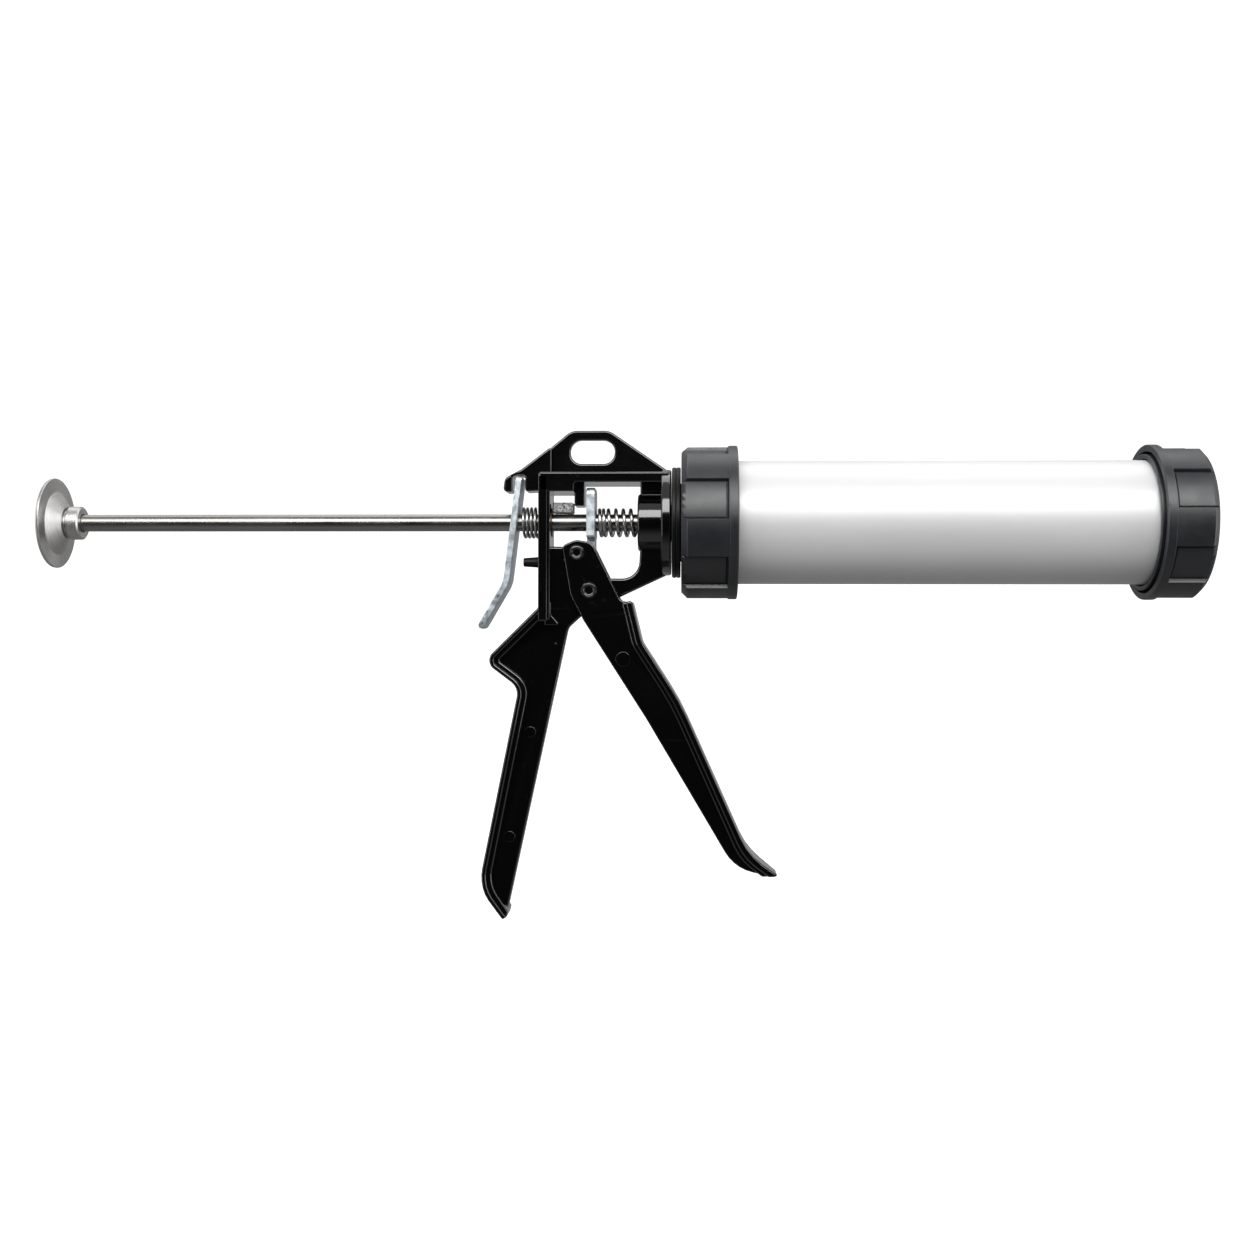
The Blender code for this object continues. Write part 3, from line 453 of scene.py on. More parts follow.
class Finish:
    """A material under construction: its nodes, its shader and the effects placed in it."""

    def __init__(self, name, metallic, specular=0.5):
        self.material = bpy.data.materials.new(name)
        self.material.use_nodes = True
        tree = self.material.node_tree
        self.nodes, self.links = tree.nodes, tree.links
        self.shader = self.nodes["Principled BSDF"]
        self.shader.inputs["Metallic"].default_value = metallic
        self.shader.inputs["Specular IOR Level"].default_value = specular

    def effect(self, group, **values):
        """Node of a shared effect, with its own values."""
        node = self.nodes.new("ShaderNodeGroup")
        node.node_tree = group
        for label, value in values.items():
            node.inputs[label.replace("_", " ")].default_value = value
        return node

    def ramp(self, value, low, high, start=0.0, end=1.0):
        """Value from start..end mapped onto low..high."""
        node = self.nodes.new("ShaderNodeMapRange")
        for label, number in (("From Min", start), ("From Max", end), ("To Min", low), ("To Max", high)):
            node.inputs[label].default_value = number
        self.links.new(value, node.inputs["Value"])
        return node.outputs["Result"]

    def mixed(self, share, first, second):
        """Colour between two colours, each an RGB tuple or a socket."""
        node = self.nodes.new("ShaderNodeMix")
        node.data_type = "RGBA"
        self.links.new(share, node.inputs["Factor"])
        for socket, colour in ((node.inputs[6], first), (node.inputs[7], second)):
            if isinstance(colour, bpy.types.NodeSocket):
                self.links.new(colour, socket)
            else:
                socket.default_value = (*colour[:3], 1.0)
        return node.outputs[2]

    def bump(self, height, strength, depth, under=None):
        """Bump of a height, on top of another if given, into the shader's normal."""
        node = self.nodes.new("ShaderNodeBump")
        node.inputs["Strength"].default_value = strength
        node.inputs["Distance"].default_value = depth * MM
        self.links.new(height, node.inputs["Height"])
        if under is not None:
            self.links.new(under, node.inputs["Normal"])
        self.links.new(node.outputs["Normal"], self.shader.inputs["Normal"])
        return node.outputs["Normal"]

    def feed(self, label, value):
        self.links.new(value, self.shader.inputs[label])

    def two_tone(self, value, first, second, start=0.3, end=0.7):
        """Colour that goes from one to another as a value goes from start to end."""
        return self.mixed(self.ramp(value, 0.0, 1.0, start, end), first, second)

    def scratched(self, operation, rough, lines, amount):
        """Roughness with the amount added or subtracted along fine scratches."""
        along = maths(self.nodes, self.links, "MULTIPLY", lines.outputs["Mask"], amount)
        self.feed("Roughness", maths(self.nodes, self.links, operation, rough, along))

    def drawn_lines(self, squeeze, per_metre, detail):
        """Noise drawn out along the gun, as drawing or polishing leaves it."""
        place = self.nodes.new("ShaderNodeTexCoord").outputs["Object"]
        lay = self.nodes.new("ShaderNodeMapping")
        lay.inputs["Scale"].default_value = (squeeze, 1.0, 1.0)
        self.links.new(place, lay.inputs["Vector"])
        return noise_node(self.nodes, self.links, per_metre, detail, lay.outputs["Vector"])


def shade(colour, factor):
    """Colour made darker or lighter."""
    return tuple(min(1.0, part * factor) for part in colour[:3])


def finish_once(name, make):
    """The material of that name, made at its first use."""
    return bpy.data.materials.get(name) or make(name)


def black_paint():
    """Glossy black paint on the casting, the trigger and its two pins."""
    def make(name):
        colour = bpy.context.scene.gun_finishes.paint
        finish = Finish(name, 0.0, 0.7)
        finish.shader.inputs["Coat Weight"].default_value = 1.0
        finish.shader.inputs["Coat Roughness"].default_value = 0.06
        grain = finish.effect(surface_grain(), Grain_per_Metre=620.0, Patches_per_Metre=45.0)
        edge_mask = finish.effect(edge_rub_and_highlight(), Amount=0.5, Breaks_per_Metre=300.0)
        lines = finish.effect(fine_scratches(), Amount=0.35, Lines_per_Metre=220.0)
        finish.feed("Base Color", finish.mixed(edge_mask.outputs["Mask"], colour, shade(colour, 5.0)))
        rough = finish.ramp(grain.outputs["Patches"], 0.09, 0.15, 0.3, 0.7)
        finish.scratched("ADD", rough, lines, 0.25)
        finish.bump(grain.outputs["Height"], 0.06, 0.3)
        return finish.material
    return finish_once("Black Paint", make)


def hub_coating():
    """Dull dark coating of the barrel hub and the lever's stop peg."""
    def make(name):
        finish = Finish(name, 0.0, 0.3)
        grain = finish.effect(surface_grain(), Grain_per_Metre=1800.0, Patches_per_Metre=70.0)
        edge_mask = finish.effect(edge_rub_and_highlight(), Amount=0.8, Breaks_per_Metre=400.0)
        skin, edge_lightened = (0.003, 0.003, 0.003), (0.02, 0.02, 0.02)
        finish.feed("Base Color", finish.mixed(edge_mask.outputs["Mask"], skin, edge_lightened))
        finish.feed("Roughness", finish.ramp(grain.outputs["Patches"], 0.34, 0.52, 0.3, 0.7))
        finish.bump(grain.outputs["Height"], 0.15, 0.2)
        return finish.material
    return finish_once("Hub Coating", make)


def cap_plastic():
    """Charcoal moulded plastic of the screw caps."""
    def make(name):
        colour = bpy.context.scene.gun_finishes.cap
        finish = Finish(name, 0.0, 0.9)
        grain = finish.effect(surface_grain(), Grain_per_Metre=2600.0, Patches_per_Metre=110.0)
        edge_mask = finish.effect(edge_rub_and_highlight(), Amount=0.9, Breaks_per_Metre=260.0)
        lines = finish.effect(fine_scratches(), Amount=0.6, Lines_per_Metre=420.0)
        patches = grain.outputs["Patches"]
        skin = finish.two_tone(patches, shade(colour, 0.82), shade(colour, 1.18), 0.25, 0.75)
        # Lighter edge colour: rubbed wear on the cap's corners, and along the grip panels' ledges a painted
        # highlight standing in for light on their rounded edges.
        edge_lightened = finish.mixed(edge_mask.outputs["Mask"], skin, shade(colour, 7.0))
        finish.feed("Base Color", edge_lightened)
        rough = finish.ramp(grain.outputs["Patches"], 0.36, 0.47, 0.3, 0.7)
        finish.scratched("SUBTRACT", rough, lines, 0.08)
        finish.bump(grain.outputs["Height"], 0.16, 0.15)
        return finish.material
    return finish_once("Cap Plastic", make)


def satin_aluminium():
    """Satin anodised aluminium of the barrel tube, with faint drawing lines along it."""
    def make(name):
        colour = bpy.context.scene.gun_finishes.tube
        finish = Finish(name, 0.25, 0.5)
        grain = finish.effect(surface_grain(), Grain_per_Metre=5200.0, Patches_per_Metre=22.0)
        drawn = finish.drawn_lines(0.012, 1500.0, 3.0)
        skin = finish.two_tone(grain.outputs["Patches"], shade(colour, 0.975), shade(colour, 1.02))
        finish.feed("Base Color", skin)
        finish.feed("Roughness", finish.ramp(drawn.outputs["Fac"], 0.4, 0.48, 0.3, 0.7))
        under = finish.bump(drawn.outputs["Fac"], 0.05, 0.06)
        finish.bump(grain.outputs["Height"], 0.05, 0.04, under)
        return finish.material
    return finish_once("Satin Aluminium", make)


def drawn_steel():
    """Bright drawn steel of the push rod and the push roller, brownish grey with streaks along it."""
    def make(name):
        colour = bpy.context.scene.gun_finishes.rod
        finish = Finish(name, 1.0)
        drawn = finish.drawn_lines(0.02, 1100.0, 4.0)
        grain = finish.effect(surface_grain(), Grain_per_Metre=1500.0, Patches_per_Metre=60.0)
        streak = drawn.outputs["Fac"]
        skin = finish.two_tone(streak, shade(colour, 0.84), shade(colour, 1.08), 0.35, 0.65)
        finish.feed("Base Color", skin)
        finish.feed("Roughness", finish.ramp(grain.outputs["Patches"], 0.2, 0.34, 0.3, 0.7))
        finish.bump(drawn.outputs["Fac"], 0.16, 0.08)
        return finish.material
    return finish_once("Drawn Steel", make)


def turned_steel():
    """Bright turned steel of the pull knob and its collar."""
    def make(name):
        colour = bpy.context.scene.gun_finishes.knob
        finish = Finish(name, 1.0)
        finish.shader.inputs["Anisotropic"].default_value = 0.8
        lay = finish.nodes.new("ShaderNodeTangent")
        lay.direction_type, lay.axis = "RADIAL", "X"
        finish.feed("Tangent", lay.outputs["Tangent"])
        marks = finish.effect(turning_marks(), Rings_per_Metre=3200.0)
        grain = finish.effect(surface_grain(), Grain_per_Metre=1200.0, Patches_per_Metre=130.0)
        skin = finish.two_tone(grain.outputs["Patches"], shade(colour, 0.88), shade(colour, 1.08))
        finish.feed("Base Color", skin)
        finish.feed("Roughness", finish.ramp(marks.outputs["Height"], 0.24, 0.36, 0.3, 0.7))
        finish.bump(marks.outputs["Height"], 0.3, 0.05)
        return finish.material
    return finish_once("Turned Steel", make)


def zinc_plating():
    """Bluish zinc plating of the lever, the drive plate and the piston's plates and nut, with flecks."""
    def make(name):
        colour = bpy.context.scene.gun_finishes.zinc
        finish = Finish(name, 0.85)
        grain = finish.effect(surface_grain(), Grain_per_Metre=2400.0, Patches_per_Metre=420.0)
        edge_mask = finish.effect(edge_rub_and_highlight(), Amount=0.7, Breaks_per_Metre=500.0)
        lines = finish.effect(fine_scratches(), Amount=0.8, Lines_per_Metre=380.0)
        flecks = grain.outputs["Patches"]
        skin = finish.two_tone(flecks, shade(colour, 0.72), shade(colour, 1.06), 0.38, 0.6)
        finish.feed("Base Color", finish.mixed(edge_mask.outputs["Mask"], skin, shade(colour, 1.2)))
        rough = finish.ramp(grain.outputs["Patches"], 0.3, 0.46, 0.3, 0.7)
        finish.scratched("SUBTRACT", rough, lines, 0.1)
        finish.bump(grain.outputs["Height"], 0.22, 0.1)
        return finish.material
    return finish_once("Zinc Plating", make)


def spring_steel():
    """Bright wire of the two springs and the retaining ring."""
    def make(name):
        finish = Finish(name, 1.0)
        grain = finish.effect(surface_grain(), Grain_per_Metre=1600.0, Patches_per_Metre=260.0)
        skin = finish.two_tone(grain.outputs["Patches"], (0.4, 0.39, 0.38), (0.66, 0.65, 0.64))
        finish.feed("Base Color", skin)
        finish.feed("Roughness", finish.ramp(grain.outputs["Patches"], 0.2, 0.32, 0.3, 0.7))
        finish.bump(grain.outputs["Height"], 0.1, 0.05)
        return finish.material
    return finish_once("Spring Steel", make)


def sintered_iron():
    """Rough grey pressed iron of the guide shoe."""
    def make(name):
        finish = Finish(name, 0.35)
        grain = finish.effect(surface_grain(), Grain_per_Metre=1500.0, Patches_per_Metre=700.0)
        pores = grain.outputs["Height"]
        skin = finish.two_tone(pores, (0.1, 0.1, 0.1), (0.62, 0.62, 0.62), 0.38, 0.58)
        finish.feed("Base Color", skin)
        finish.feed("Roughness", finish.ramp(grain.outputs["Patches"], 0.5, 0.75, 0.3, 0.7))
        finish.bump(grain.outputs["Height"], 0.8, 0.35)
        return finish.material
    return finish_once("Sintered Iron", make)


def oily_bronze():
    """Oil-filled bronze of the rod's bush."""
    def make(name):
        finish = Finish(name, 1.0)
        grain = finish.effect(surface_grain(), Grain_per_Metre=2600.0, Patches_per_Metre=320.0)
        skin = finish.two_tone(grain.outputs["Patches"], (0.07, 0.055, 0.035), (0.14, 0.11, 0.07))
        finish.feed("Base Color", skin)
        finish.feed("Roughness", finish.ramp(grain.outputs["Patches"], 0.28, 0.5, 0.3, 0.7))
        finish.bump(grain.outputs["Height"], 0.3, 0.08)
        return finish.material
    return finish_once("Oily Bronze", make)


def seal_rubber():
    """Soft black rubber of the gasket, the front seal and the piston's cup."""
    def make(name):
        finish = Finish(name, 0.0, 0.4)
        grain = finish.effect(surface_grain(), Grain_per_Metre=2200.0, Patches_per_Metre=150.0)
        dust = grain.outputs["Patches"]
        skin = finish.two_tone(dust, (0.012, 0.012, 0.012), (0.03, 0.03, 0.028), 0.45, 0.75)
        finish.feed("Base Color", skin)
        finish.feed("Roughness", finish.ramp(grain.outputs["Patches"], 0.62, 0.8, 0.3, 0.7))
        finish.bump(grain.outputs["Height"], 0.25, 0.12)
        return finish.material
    return finish_once("Seal Rubber", make)


# Casting, all in one piece


CASTING_HALF, WEB_HALF = 12.0, 3.0
CHEEK_INNER, CHEEK_OUTER = 4.8, 8.0
NOSE_HALF = 6.0
EJECTOR_MARKS = ((-27.0, -92.0, 2.4, 0.25), (-36.0, -138.0, 2.4, 0.25), (-16.0, -53.3, 0.6, 0.35))
PIVOT = (-1.1, -30.0)
PUSH_PIN = (-6.4, -13.6)
POST_REAR, POST_FRONT = -23.0, -18.5
HANDLE_PATH = [
    (-22.7, -29.5, 0.0), (-22.7, -37.2, 3.0), (-46.6, -60.9, 4.6),
    (-31.4, -72.3, 6.5), (-48.6, -158.2, 19.0), (-38.6, -174.0, 0.0),
]
HANDLE_TIP, HANDLE_NECK = Vector((-37.4, -172.4)), Vector((-10.4, -46.2))
TRIGGER_PATH = [
    (17.8, -34.3, 2.0), (22.2, -52.3, 8.0), (38.6, -77.6, 110.0), (68.3, -143.6, 30.0), (81.2, -153.4, 0.0),
]


def flange_corners(path, thickness, stop, heading):
    """Corners of a flange along an open path, ended on the line through stop along heading."""
    strip = band(path, thickness)
    inner = strip[len(path):]
    last, before = Vector(inner[0][:2]), Vector(inner[1][:2])
    along, heading, stop = last - before, Vector(heading), Vector(stop)
    share = (stop - before).cross(heading) / along.cross(heading)
    end = before + along * share
    return [*path, (stop.x, stop.y, 0.0), (end.x, end.y, 0.0), *inner[1:]]


def narrow_tip(form, first, share_at, amount):
    """Narrows a form's points from number first on, by amount at the tip, where share_at gives 1."""
    for index in range(first, len(form.points)):
        spot = form.points[index]
        kept = 1.0 - amount * max(0.0, share_at(spot)) ** 2
        form.points[index] = Vector((spot.x, spot.y * kept, spot.z))


def casting_form():
    """Hanger plate, nose, beam, post, lug, web, arm, hub flange and handle with its wide rear flange."""
    sizes = bpy.context.scene.gun_sizes
    rim = sizes.casting_edge / MM
    lip = sizes.handle_lip / MM
    form = Form()

    def plate(corners, half, edge=rim, holes=()):
        form.plate([rounded(corners, edge + 0.05), *holes], -half, half, edge)

    inner_rear = [(x + 1.5, z, radius) for x, z, radius in HANDLE_PATH]
    plate([
        *inner_rear[1:-1],
        (*HANDLE_TIP, 0.8), (*HANDLE_NECK, 5.0), (-3.8, -40.2), (33.1, -22.9),
        (33.1, -9.6), (21.0, -9.6), (20.3, -24.5, 10.5), (2.5, -24.5, 3.0),
        (-0.5, -19.5, 3.5), (-12.6, -19.5, 4.0), (-12.6, -10.5, 1.2), (-21.5, -10.5), (-21.5, -33.5),
    ], WEB_HALF, 1.1)
    plate(rectangle(21.0, 33.1, 9.6, 20.0), WEB_HALF)
    slot = hole([(-9.7, 25.8, 5.1), (9.7, 25.8, 5.1), (9.7, 36.2, 5.1), (-9.7, 36.2, 5.1)], step=6.0)
    plate([
        (-24.0, 28.4), (-9.4, 40.4, 7.0), (7.4, 40.4, 7.0), (33.8, 22.3, 1.0), (33.8, 19.8), (-26.0, 19.8),
    ], 2.5, rim, [slot])
    plate([
        (-39.1, 13.2, 3.9), (-38.3, 19.4, 3.4), (-31.0, 23.2, 6.0), (-17.7, 33.3), (-17.7, 19.8),
        (-21.5, 13.8), (-29.3, 13.4), (-29.3, 20.3, 1.2), (-34.9, 20.3, 1.2), (-34.9, 13.2),
    ], NOSE_HALF)
    plate([
        (-22.7, 12.9), (-7.4, 12.9, 1.0), (-7.4, 16.9, 1.0), (33.6, 16.9), (33.6, 21.3), (-22.7, 21.3),
    ], CASTING_HALF, 0.8)
    plate(rectangle(-7.7, -3.3, 7.0, 19.3), NOSE_HALF, 0.6)
    rest, front = form_post_faces(rim)
    form.plate(rest, POST_REAR, POST_FRONT - 0.6, 0.5, "X")
    form.plate(front, POST_REAR + 2.0, POST_FRONT + 0.5, 0.45, "X")
    plate([(-20.5, -45.2), (-13.8, -44.9), (-17.6, -40.6, 3.0), (-17.6, -35.0), (-20.5, -35.0)], 8.5, 0.5)

    before = len(form.points)
    handle_line = (HANDLE_TIP + Vector((0.2, 0.0)), HANDLE_NECK - HANDLE_TIP)
    plate(flange_corners(HANDLE_PATH, -lip, *handle_line), CASTING_HALF, rim)
    step = flange_corners(HANDLE_PATH, -lip - 1.7, *handle_line)
    plate([(x + 0.4, z, radius) for x, z, radius in step], CASTING_HALF - 2.6, rim)
    narrow_tip(form, before, lambda spot: (-162.0 - spot.z) / 12.0, 0.4)

    form.lathe(rounded([(20.0, 8.3), (20.0, 12.5), (32.6, 12.5), (32.6, 8.3)], 1.0), 80)
    form.lathe(rounded([(30.4, 8.3), (30.4, 23.2), (34.6, 23.2), (34.6, 8.3)], 0.9), 120)
    form.lathe(rounded([(-4.5, 2.9), (-4.5, 7.0), (4.5, 7.0), (4.5, 2.9)], 0.5), 48, PIVOT)
    for x, z, radius, height in EJECTOR_MARKS:
        side = WEB_HALF + height
        pad = [(-side, 0.0), (-side, radius), (side, radius), (side, 0.0)]
        form.lathe(rounded(pad, 0.2, closed=False), 32, (x, z))
    return form


def form_post_faces(rim):
    """Front views of the post's two steps, with the hole for the rod's bush."""
    bore = round_hole((0.0, 0.0), 6.5)
    wide = rounded(rectangle(-CASTING_HALF, CASTING_HALF, -43.5, 20.8, 1.2), rim)
    narrow = rounded(rectangle(-CASTING_HALF + 1.1, CASTING_HALF - 1.1, -43.0, 20.2, 1.2), rim)
    return [wide, bore], [narrow, bore]


def trigger_form():
    """Two cheeks closed by a wide front flange with a rounded inner step."""
    sizes = bpy.context.scene.gun_sizes
    rim = sizes.casting_edge / MM
    lip = sizes.trigger_lip / MM
    form = Form()
    front = [(x - 1.35, z - 0.6, radius) for x, z, radius in TRIGGER_PATH]
    cheek = rounded([
        (-13.0, -10.4, 2.5), (-7.0, -7.8, 6.0), (0.2, -9.0, 5.0), (12.8, -34.5, 7.0),
        *front[:-1], (front[-1][0], -153.6), (front[-1][0] - 1.2, -154.0),
        (62.3, -150.4, 36.0), (24.2, -86.2, 60.0), (-3.4, -43.2, 3.0), (-9.3, -32.0, 5.0),
    ], 0.75)
    holes = [round_hole(PIVOT, 2.7), round_hole(PUSH_PIN, 2.3)]
    form.plate([cheek, *holes], CHEEK_INNER, CHEEK_OUTER, 0.7)
    form.plate([cheek, *holes], -CHEEK_OUTER, -CHEEK_INNER, 0.7)
    bottom = ((TRIGGER_PATH[-1][0] - 1.0, -154.1), (-1.0, 0.03))
    cheeks = len(form.points)
    wide = flange_corners(TRIGGER_PATH, lip, *bottom)
    form.plate([rounded(wide, rim + 0.05)], -CASTING_HALF, CASTING_HALF, rim)
    step = flange_corners(TRIGGER_PATH, lip + 1.5, *bottom)
    form.plate([rounded([(x - 0.3, z, radius) for x, z, radius in step], rim + 0.05)],
               -CASTING_HALF + 2.4, CASTING_HALF - 2.4, rim)
    narrow_tip(form, cheeks, lambda spot: (spot.x - 68.0) / 13.2, 0.5)
    for sign in (-1.0, 1.0):
        pad = [(sign * 7.5, 0.0), (sign * 7.5, 3.2), (sign * 8.3, 3.2), (sign * 8.3, 0.0)]
        form.lathe(rounded(pad, 0.2, closed=False), 40, (13.8, -59.8))
    return form


def headed_pin_profile(shank, head, seat=8.3, height=1.4):
    """Pin across both cheeks whose peened heads have a raised ring and a dished middle."""
    crown = seat + height
    half = [(crown - 0.5, 0.0), (crown - 0.5, head - 1.9, 0.8), (crown, head - 1.3, 0.5),
            (crown - 0.1, head - 0.7, 0.4), (seat, head, 0.5), (seat, shank, 0.3)]
    return [(-place, radius, *rest) for place, radius, *rest in half] + half[::-1]


# Catch lever


LEVER_HALF_WIDTH, LEVER_HALF_DEPTH = 8.0, 1.4
LEVER_HOLE, LEVER_BEND = 4.5, 13.0
ROD_SLOPE = 0.1224              # the lever's run along X for each millimetre down to the rod
BEND_CUTS = 16


def lever_place(length, aside, depth, stops):
    """Point of the flat lever pattern carried onto its bent middle line."""
    walked = 0.0
    for start, end, heading, next_heading, bend in stops:
        reach = (end - start).length
        if length <= walked + reach or bend is None:
            spot = start + heading * (length - walked)
            normal = Vector((heading.y, -heading.x))
            return Vector((spot.x, aside, spot.y)) + Vector((normal.x, 0.0, normal.y)) * depth
        walked += reach
        turn = heading.angle_signed(next_heading)
        arc = abs(turn) * bend
        if length <= walked + arc:
            side = Vector((heading.y, -heading.x)) * (1.0 if turn > 0.0 else -1.0)
            centre = end + side * bend
            share = (length - walked) / arc * turn
            spoke = -side
            spoke = Vector((
                spoke.x * math.cos(share) + spoke.y * math.sin(share),
                spoke.y * math.cos(share) - spoke.x * math.sin(share),
            ))
            sign = 1.0 if turn > 0.0 else -1.0
            spot = centre + spoke * (bend - sign * depth)
            return Vector((spot.x, aside, spot.y))
        walked += arc
    raise RuntimeError("the lever's pattern is longer than its middle line")


def lever_stops():
    """Straight stretches of the lever's middle line: (start, end, heading, next heading, bend radius)."""
    top, bend, tip = Vector((-31.7, 19.6)), Vector((-37.34, -26.5)), Vector((-49.0, -46.6))
    radius = LEVER_BEND
    first, second = (bend - top).normalized(), (tip - bend).normalized()
    setback = radius * math.tan(abs(first.angle_signed(second)) / 2)
    return [
        (top, bend - first * setback, first, second, radius),
        (bend + second * setback, tip, second, None, None),
    ]


def build_lever(finish):
    """Bent zinc-plated strip with a hole for the rod and a rounded tip."""
    stops = lever_stops()
    (start, end, heading, after, bend), (start_2, end_2, *_) = stops
    total = (end - start).length + abs(heading.angle_signed(after)) * bend + (end_2 - start_2).length
    rod_at = (Vector((start.x - ROD_SLOPE * 19.6, 0.0)) - start).length
    pattern = rounded([
        (0.0, -LEVER_HALF_WIDTH, 1.6), (total, -LEVER_HALF_WIDTH, 3.6),
        (total, LEVER_HALF_WIDTH, 3.6), (0.0, LEVER_HALF_WIDTH, 1.6),
    ], 0.6)
    form = Form()
    rod_hole = round_hole((rod_at, 0.0), LEVER_HOLE)
    form.plate([pattern, rod_hole], -LEVER_HALF_DEPTH, LEVER_HALF_DEPTH, 0.45, steps=3)
    build = bmesh.new()
    spots = [build.verts.new((p.x, p.y, p.z)) for p in form.points]
    for face in form.faces:
        build.faces.new([spots[index] for index in face])
    bend_start = (end - start).length
    bend_end = total - (end_2 - start_2).length
    cuts = [bend_start + (bend_end - bend_start) * number / BEND_CUTS for number in range(BEND_CUTS + 1)]
    cuts += [total - LEVER_HALF_DEPTH * share for share in (1.0, 0.8, 0.6, 0.4, 0.25, 0.12, 0.04)]
    for cut in cuts:
        geometry = build.verts[:] + build.edges[:] + build.faces[:]
        bmesh.ops.bisect_plane(build, geom=geometry, plane_co=(cut, 0.0, 0.0), plane_no=(1.0, 0.0, 0.0))
    bmesh.ops.remove_doubles(build, verts=build.verts, dist=1e-5)
    for vertex in build.verts:
        length, depth, aside = vertex.co
        tip_share = max(0.0, length - total + LEVER_HALF_DEPTH) / LEVER_HALF_DEPTH
        depth *= math.sqrt(max(0.06, 1.0 - tip_share ** 2))
        spot = lever_place(length, aside, -depth, stops)
        vertex.co = (spot.x * MM, spot.y * MM, spot.z * MM + AXIS)
    bmesh.ops.recalc_face_normals(build, faces=build.faces)
    mesh = bpy.data.meshes.new("Catch_Lever")
    build.to_mesh(mesh)
    build.free()
    mesh.shade_smooth()
    lever = stand_mesh("Catch_Lever", mesh, finish, "catch_lever")
    even = lever.modifiers.new("Even Normals", "WEIGHTED_NORMAL")
    even.weight = 90
    return lever


# Springs


DRIVE_WIRE, DRIVE_COIL, DRIVE_TRAVEL = 1.6, 5.7, 8.32     # wire, coil radius and how far it is pressed
CATCH_WIRE, CATCH_COIL, CATCH_TRAVEL = 1.2, 6.4, 2.2


def coil_centres(start, end, radius, wire, closed_turns, open_turns, steps_a_turn=48):
    """Middle line of a spring about the rod, with closed turns at its start."""
    closed_pitch = wire * 1.08
    first, last = start + wire / 2, end - wire / 2
    open_pitch = (last - first - closed_turns * closed_pitch) / open_turns
    centres = []
    for number in range(round((closed_turns + open_turns) * steps_a_turn) + 1):
        turns = number / steps_a_turn
        place = first + min(turns, closed_turns) * closed_pitch + max(turns - closed_turns, 0.0) * open_pitch
        angle = math.tau * turns
        centres.append(Vector((place, radius * math.cos(angle), radius * math.sin(angle))))
    return centres


# Screw caps


SLOPE_STEP = 0.02               # reach over which a surface's slope is found


def eased(value):
    """Smooth step from 0 to 1."""
    value = min(1.0, max(0.0, value))
    return value * value * (3.0 - 2.0 * value)


GRIP_COUNT = 6
GRIP_DEPTH = 1.6
GROOVE_DEPTH = 0.5              # groove at the foot of a panel's ledges
GRIP_HALF = math.radians(31.4) / 2
CAP_RADIUS, CAP_RIM, CAP_CHAMFER, CAP_WALL = 33.2, 0.4, 2.6, 3.0
CAP_RIM_LENGTH = 4.4
SLEEVE_INNER, SLEEVE_OUTER = 27.6, 29.5
NOTCH_DEPTH, NOTCH_RUN = 0.9, math.radians(0.45)

REAR_CAP_LENGTH, REAR_LIP, REAR_FLOOR_HOLE = 24.3, -0.3, 17.3
FRONT_CAP_LENGTH, FRONT_LIP, FRONT_FLOOR_HOLE = 22.0, 1.3, 11.0
REAR_GRIP_PHASE, FRONT_GRIP_PHASE, FRONT_NOTCH = math.radians(14.5), math.radians(22.6), math.radians(8.4)

# Places across a panel's side wall, in shares of its run, where the mesh has points.
CAP_SAMPLES = (
    -2.1, -1.7, -1.35, -1.0, -0.7, -0.5, -0.35, -0.2, 0.0,
    0.2, 0.35, 0.5, 0.7, 1.0, 1.35, 1.7, 2.1,
)


def panel_depth(place, angle, length, phase, wall):
    """How far a cap's grip panels lie under its outer surface at a place and angle."""
    sector = math.tau / GRIP_COUNT
    off = abs((angle - phase + sector / 2) % sector - sector / 2)
    inside = (GRIP_HALF - off) * CAP_RADIUS
    before = length - CAP_RIM_LENGTH - place
    aside, along = eased((inside + wall / 2) / wall), eased((before + wall / 2) / wall)
    foot = max(0.0, 1.0 - abs(min(inside, before) - wall) / wall)
    return (GRIP_DEPTH + GROOVE_DEPTH * eased(foot)) * aside * along


def cap_angles(phase, wall, notch):
    """Angles around a cap, closer together at the panels' side walls and at the notch."""
    reach = wall / CAP_RADIUS
    sector = math.tau / GRIP_COUNT
    angles = [phase + math.radians(3.0) * number for number in range(120)]
    for panel in range(GRIP_COUNT):
        for side in (-1.0, 1.0):
            edge = phase + sector * panel + side * GRIP_HALF
            angles += [edge + reach * share for share in CAP_SAMPLES]
    if notch is not None:
        angles += [notch + math.radians(off) for off in (-1.1, -0.7, -0.5, 0.0, 0.5, 0.7, 1.1)]
    angles = sorted(angle % math.tau for angle in angles)
    befores = [angles[-1] - math.tau] + angles
    return [angle for angle, before in zip(angles, befores) if angle - before > 1e-4]


